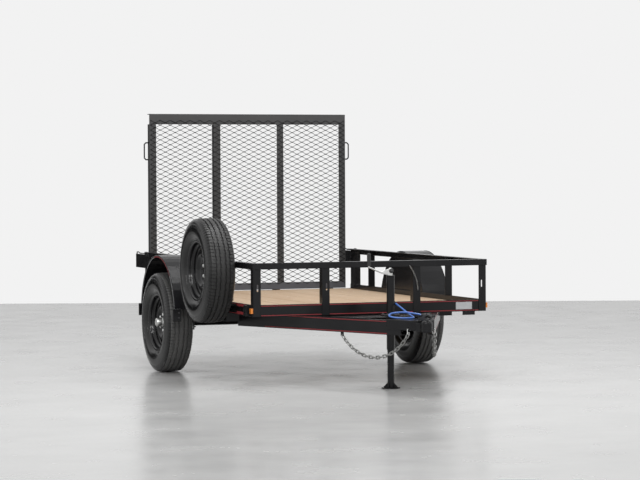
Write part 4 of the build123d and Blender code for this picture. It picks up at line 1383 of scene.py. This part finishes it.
@dataclass
class FrameTrim:
    """Small flat pieces on the frame: red bands, blank plate, gussets, tab and latch rods."""

    half: float = 808.0
    band_z: tuple[Pair, ...] = ((461.0, 479.0), (512.0, 529.0))
    band_runs: tuple[Pair, ...] = ((33.0, 58.0), (112.0, 340.0))
    band_proud: float = 0.5
    plate_x: Pair = (598.0, 714.0)
    plate_back: Pair = (-0.9, 0.0)
    plate_z: Pair = (471.0, 519.0)
    gusset_x: Pair = (700.0, 813.0)
    gusset_back: Pair = (549.0, 557.0)
    gusset_z: Pair = (396.0, 457.0)
    tab_x: Pair = (648.0, 736.0)
    tab_back: Pair = (1.0, 7.0)
    tab_z: Pair = (433.0, 457.0)
    rod: float = 4.0
    rod_bend: float = 9.0
    rod_x: float = 820.5
    rod_path: tuple[Pair, ...] = (
        (2620.0, 776.0), (2620.0, 797.0), (2575.0, 797.0), (2548.0, 789.0), (2420.0, 789.0),
        (2395.0, 800.0), (2350.0, 800.0), (2350.0, 778.0))

    def build(self, finishes: Finishes) -> None:
        """Build the bands, plate, gussets, tab and rods.

        Args:
            finishes: The trailer's finishes.
        """
        bands = Shape("red_bands")
        steel = Shape("frame_gussets")
        rods = Shape("latch_rods")
        for side in Side:
            faces = side.value * self.half, side.value * (self.half + self.band_proud)
            for zs in self.band_z:
                for run in self.band_runs:
                    bands.block(faces, run, zs, bevel=0.1)
            steel.block([side.value * x for x in self.gusset_x], self.gusset_back,
                        self.gusset_z, bevel=1.5)
            path = [spot(side.value * self.rod_x, back, z) for back, z in self.rod_path]
            rods.sweep(fillet(path, self.rod_bend), ring_of(self.rod, 10), ALONG_X)
        steel.block(self.tab_x, self.tab_back, self.tab_z, bevel=1.2)
        bands.finish("chassis", [finishes.stripe])
        steel.finish("chassis", [finishes.enamel])
        rods.finish("chassis", [finishes.enamel])
        plate = Shape("blank_plate")
        plate.block(self.plate_x, self.plate_back, self.plate_z, bevel=0.3)
        plate.finish("chassis", [finishes.plate])


# ---- tongue -------------------------------------------------------------------------------


@dataclass
class JackCrank:
    """Zinc crank on top of the jack, with its boss, pinch bolt and rod, and the flange's bolts."""

    back: float = -326.0
    cap: float = 721.0
    thick: float = 8.0
    rod: float = 5.6
    rod_bend: float = 14.0
    boss_at: Pair = (4.0, 29.0)
    outline: tuple[Pair, ...] = (
        (13.0, 3.0), (13.0, 43.0), (2.0, 48.0), (-30.0, 36.0), (-60.0, 25.0), (-63.0, 12.0),
        (-24.0, 3.0))
    arm: tuple[Pair, ...] = ((-50.0, 18.0), (-72.0, 22.0), (-147.0, 53.0), (-147.0, 66.0))
    collar: tuple[Pair, ...] = ((0, 0), (0, 13), (4.5, 13), (6.5, 11), (6.5, 0))
    collar_sink: float = 1.0
    boss: tuple[Pair, ...] = ((-1, 0), (-1, 15), (4, 15), (8, 12), (10, 8), (10, 0))
    pinch_head: tuple[Pair, ...] = ((9.5, 0), (9.5, 6.5), (13.5, 6.5), (15, 4.5), (15.2, 0))
    flange_bolt: Bolt = Bolt(((-1, 0), (-1, 9), (1.8, 9), (1.8, 0)), 20,
                             ((1.5, 0), (1.5, 7.4), (7.0, 7.4), (8.2, 5.8), (8.2, 0)))
    flange_reach: float = 37.0
    flange_top: float = 471.0

    def build(self, finishes: Finishes) -> None:
        """Build the crank and the flange's bolts.

        Args:
            finishes: The trailer's finishes.
        """
        shape = Shape("crank")
        half = self.thick / 2
        shape.plate(spot(0, self.back + half, self.cap), self.outline, self.thick, bevel=1.4)
        path = [spot(x, self.back, self.cap + rise) for x, rise in self.arm]
        shape.sweep(fillet(path, self.rod_bend), ring_of(self.rod, 16), ALONG_Y)
        shape.turn(spot(0, self.back, self.cap - self.collar_sink), ALONG_Z, self.collar, 24)
        x, rise = self.boss_at
        centre = spot(x, self.back - half, self.cap + rise)
        for shape.index, profile, steps in ((1, self.boss, 32), (2, self.pinch_head, HEXAGON)):
            shape.turn(centre, -ALONG_Y, profile, steps)
        shape.finish("chassis", [finishes.zinc, finishes.grip, finishes.steel],
                     ["jack_crank"], sharp=30.0)
        bolts = Shape("jack_bolts")
        for x in (-self.flange_reach, self.flange_reach):
            for shift in (-self.flange_reach, self.flange_reach):
                self.flange_bolt.drive(bolts, spot(x, self.back + shift, self.flange_top), ALONG_Z)
        bolts.finish("chassis", [finishes.steel])


@dataclass(frozen=True)
class Link:
    """Welded chain link of round wire."""

    wire: float
    half_wide: float
    bend_steps: int = 8

    def weld(self, shape: Shape, centre: Vector, along: Vector, flat: Vector,
             inner_long: float) -> None:
        """Add a link round its centre.

        Args:
            shape: The chain.
            centre: Middle of the link.
            along: Direction that the link is long in.
            flat: Direction that the link's ring lies square to.
            inner_long: Length of its opening in millimetres.
        """
        across = flat.cross(along).normalized()
        bend = self.half_wide + self.wire / 2
        straight = (inner_long + self.wire) / 2 - bend
        path = []
        for end in (1, -1):
            for step in range(self.bend_steps + 1):
                turn = math.pi * (step / self.bend_steps - 0.5)
                path.append(centre + (along * (straight + bend * math.cos(turn))
                                      + across * bend * math.sin(turn)) * end * MM)
        shape.sweep(path, ring_of(self.wire / 2, 10), flat, loop=True)


@dataclass
class SafetyChains:
    """Two chains slung from the beams and hooked to the coupler."""

    anchor: Triple = (-300.0, -8.0, 350.0)    # distance back, distance off the beam, Z
    hanger: Triple = (-820.0, 2.0, 379.0)     # the same
    sag: float = 145.0
    links: int = 22
    link: Link = Link(7.0, 5.0)
    play: float = 1.2
    end_gap: float = 0.4
    hook_wire: float = 5.2
    hook_bend: float = 6.0
    hole_z: float = 413.0
    hook_path: tuple[Pair, ...] = (
        (-15.0, -14.0), (-15.0, -2.5), (10.0, -2.5), (10.0, -34.0), (-6.0, -34.0), (-6.0, -22.0))
    beams: Beams = Beams()

    def hang(self, shape: Shape, start: Vector, end: Vector, outward: Vector) -> None:
        """Weld one chain's links along an arc that sags between two points.

        Args:
            shape: The chain.
            start: Where it hangs from the beam.
            end: Where it is hooked.
            outward: Direction that every second link lies square to.
        """
        middle = (start + end) / 2
        half = (end - start).length / 2
        chord = (end - start).normalized()
        normal = chord.cross(ALONG_Z).normalized()
        up = normal.cross(chord).normalized()
        low = -ALONG_Z * self.sag * MM
        u, v = low.dot(chord), low.dot(up)
        # circle through (-half, 0), (half, 0) and (u, v)
        centre_v = (u * u + v * v - half * half) / (2 * v)
        centre = middle + up * centre_v
        radius = math.hypot(half, centre_v)
        half_angle = math.asin(half / radius)
        pitch = (2 * half_angle * radius / MM - self.play) / self.links
        first = (pitch + self.play + self.link.wire) / 2 + self.end_gap
        for index in range(self.links):
            turn = -half_angle + (first + index * pitch) * MM / radius
            place = centre + (chord * math.sin(turn) - up * math.cos(turn)) * radius
            along = chord * math.cos(turn) + up * math.sin(turn)
            flat = outward if index % 2 else along.cross(outward).normalized()
            self.link.weld(shape, place, along, flat, pitch + self.play)

    def build(self, finishes: Finishes) -> None:
        """Build both chains and their hooks.

        Args:
            finishes: The trailer's finishes.
        """
        hooks = Shape("chain_hooks_wire")
        for side in Side:
            label = side.name.lower()
            shape = Shape(f"chain_{label}")
            self.hang(shape, self.beams.beside(side, *self.anchor),
                      self.beams.beside(side, *self.hanger), self.beams.outward(side))
            shape.finish("chassis", [finishes.chain], [f"safety_chain_{label}"], sharp=50.0)
            corners = [self.beams.beside(side, self.hanger[0], out, self.hole_z + rise)
                       for out, rise in self.hook_path]
            hooks.sweep(fillet(corners, self.hook_bend), ring_of(self.hook_wire / 2, 12), ALONG_Y)
        hooks.finish("chassis", [finishes.zinc], ["chain_hooks"], sharp=50.0)


@dataclass
class PinChain:
    """Thin chain that hangs from the front rail beside a post."""

    top: Triple = (264.0, -14.0, 768.0)
    end: Triple = (322.0, -14.0, 606.0)
    bow: float = 14.0
    links: int = 15
    link: Link = Link(2.2, 2.4)
    play: float = 0.6

    def build(self, finishes: Finishes) -> None:
        """Hang the links along a slightly bowed line.

        Args:
            finishes: The trailer's finishes.
        """
        shape = Shape("pin_chain")
        start, end = spot(*self.top), spot(*self.end)
        line = []
        for step in range(self.links + 1):
            share = step / self.links
            bow = ALONG_X * self.bow * MM * math.sin(math.pi * share)
            line.append(start.lerp(end, share) + bow)
        for index, (here, there) in enumerate(zip(line, line[1:])):
            along = (there - here).normalized()
            flat = -ALONG_Y if index % 2 else along.cross(-ALONG_Y).normalized()
            self.link.weld(shape, (here + there) / 2, along, flat,
                           (there - here).length / MM + self.play)
        shape.finish("chassis", [finishes.chain], sharp=50.0)


# ---- CAD nodes ----------------------------------------------------------------------------


@dataclass
class Bare:
    """CAD nodes that show as they are, with a finish each."""

    finish_of_slot: dict[str, str] = field(default_factory=lambda: {
        "black_paint": "enamel", "pine": "pine", "tyre": "rubber", "wheel_paint": "wheel",
        "zinc": "zinc", "chrome": "chrome", "dark_steel": "steel", "grip": "grip",
        "amber_lens": "amber", "red_lens": "red", "cord_jacket": "cord",
    })
    # The gate's top bar and stiles take the gate finish, a lighter grey that paints in the extra
    # light on their front faces.
    finish_of_node: dict[str, str] = field(default_factory=lambda: {
        "gate_bottom_bar": "sill", "gate_top_bar": "gate", "gate_stiles": "gate"})

    def dress(self, frame: dict, finishes: Finishes) -> None:
        """Give every CAD node the finish of its material slot.

        Args:
            frame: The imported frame, with its record and CAD nodes.
            finishes: The trailer's finishes.
        """
        for part in frame["record"]["subparts"]:
            node = frame["nodes"][part["node"]]
            of_slot = self.finish_of_slot[part["material_slot"]]
            material = getattr(finishes, self.finish_of_node.get(part["node"], of_slot))
            node.data.materials.clear()
            node.data.materials.append(material)


def main() -> None:
    """Build the whole scene."""
    logging.basicConfig(level=logging.INFO, format="%(name)s %(message)s")
    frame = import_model()
    finishes = Finishes()
    studio = Studio()
    studio.shoot()
    WiringLead().lay(finishes)
    studio.light()
    studio.lay_floor(finishes.concrete)
    Bare().dress(frame, finishes)
    for group in (Wheels, ExpandedMesh, Deck, Pinstripes, FrameTrim, SpareCarrier, FenderTrim,
                  SafetyChains, JackCrank, PinChain):
        group().build(finishes)


if __name__ == "__main__":
    main()
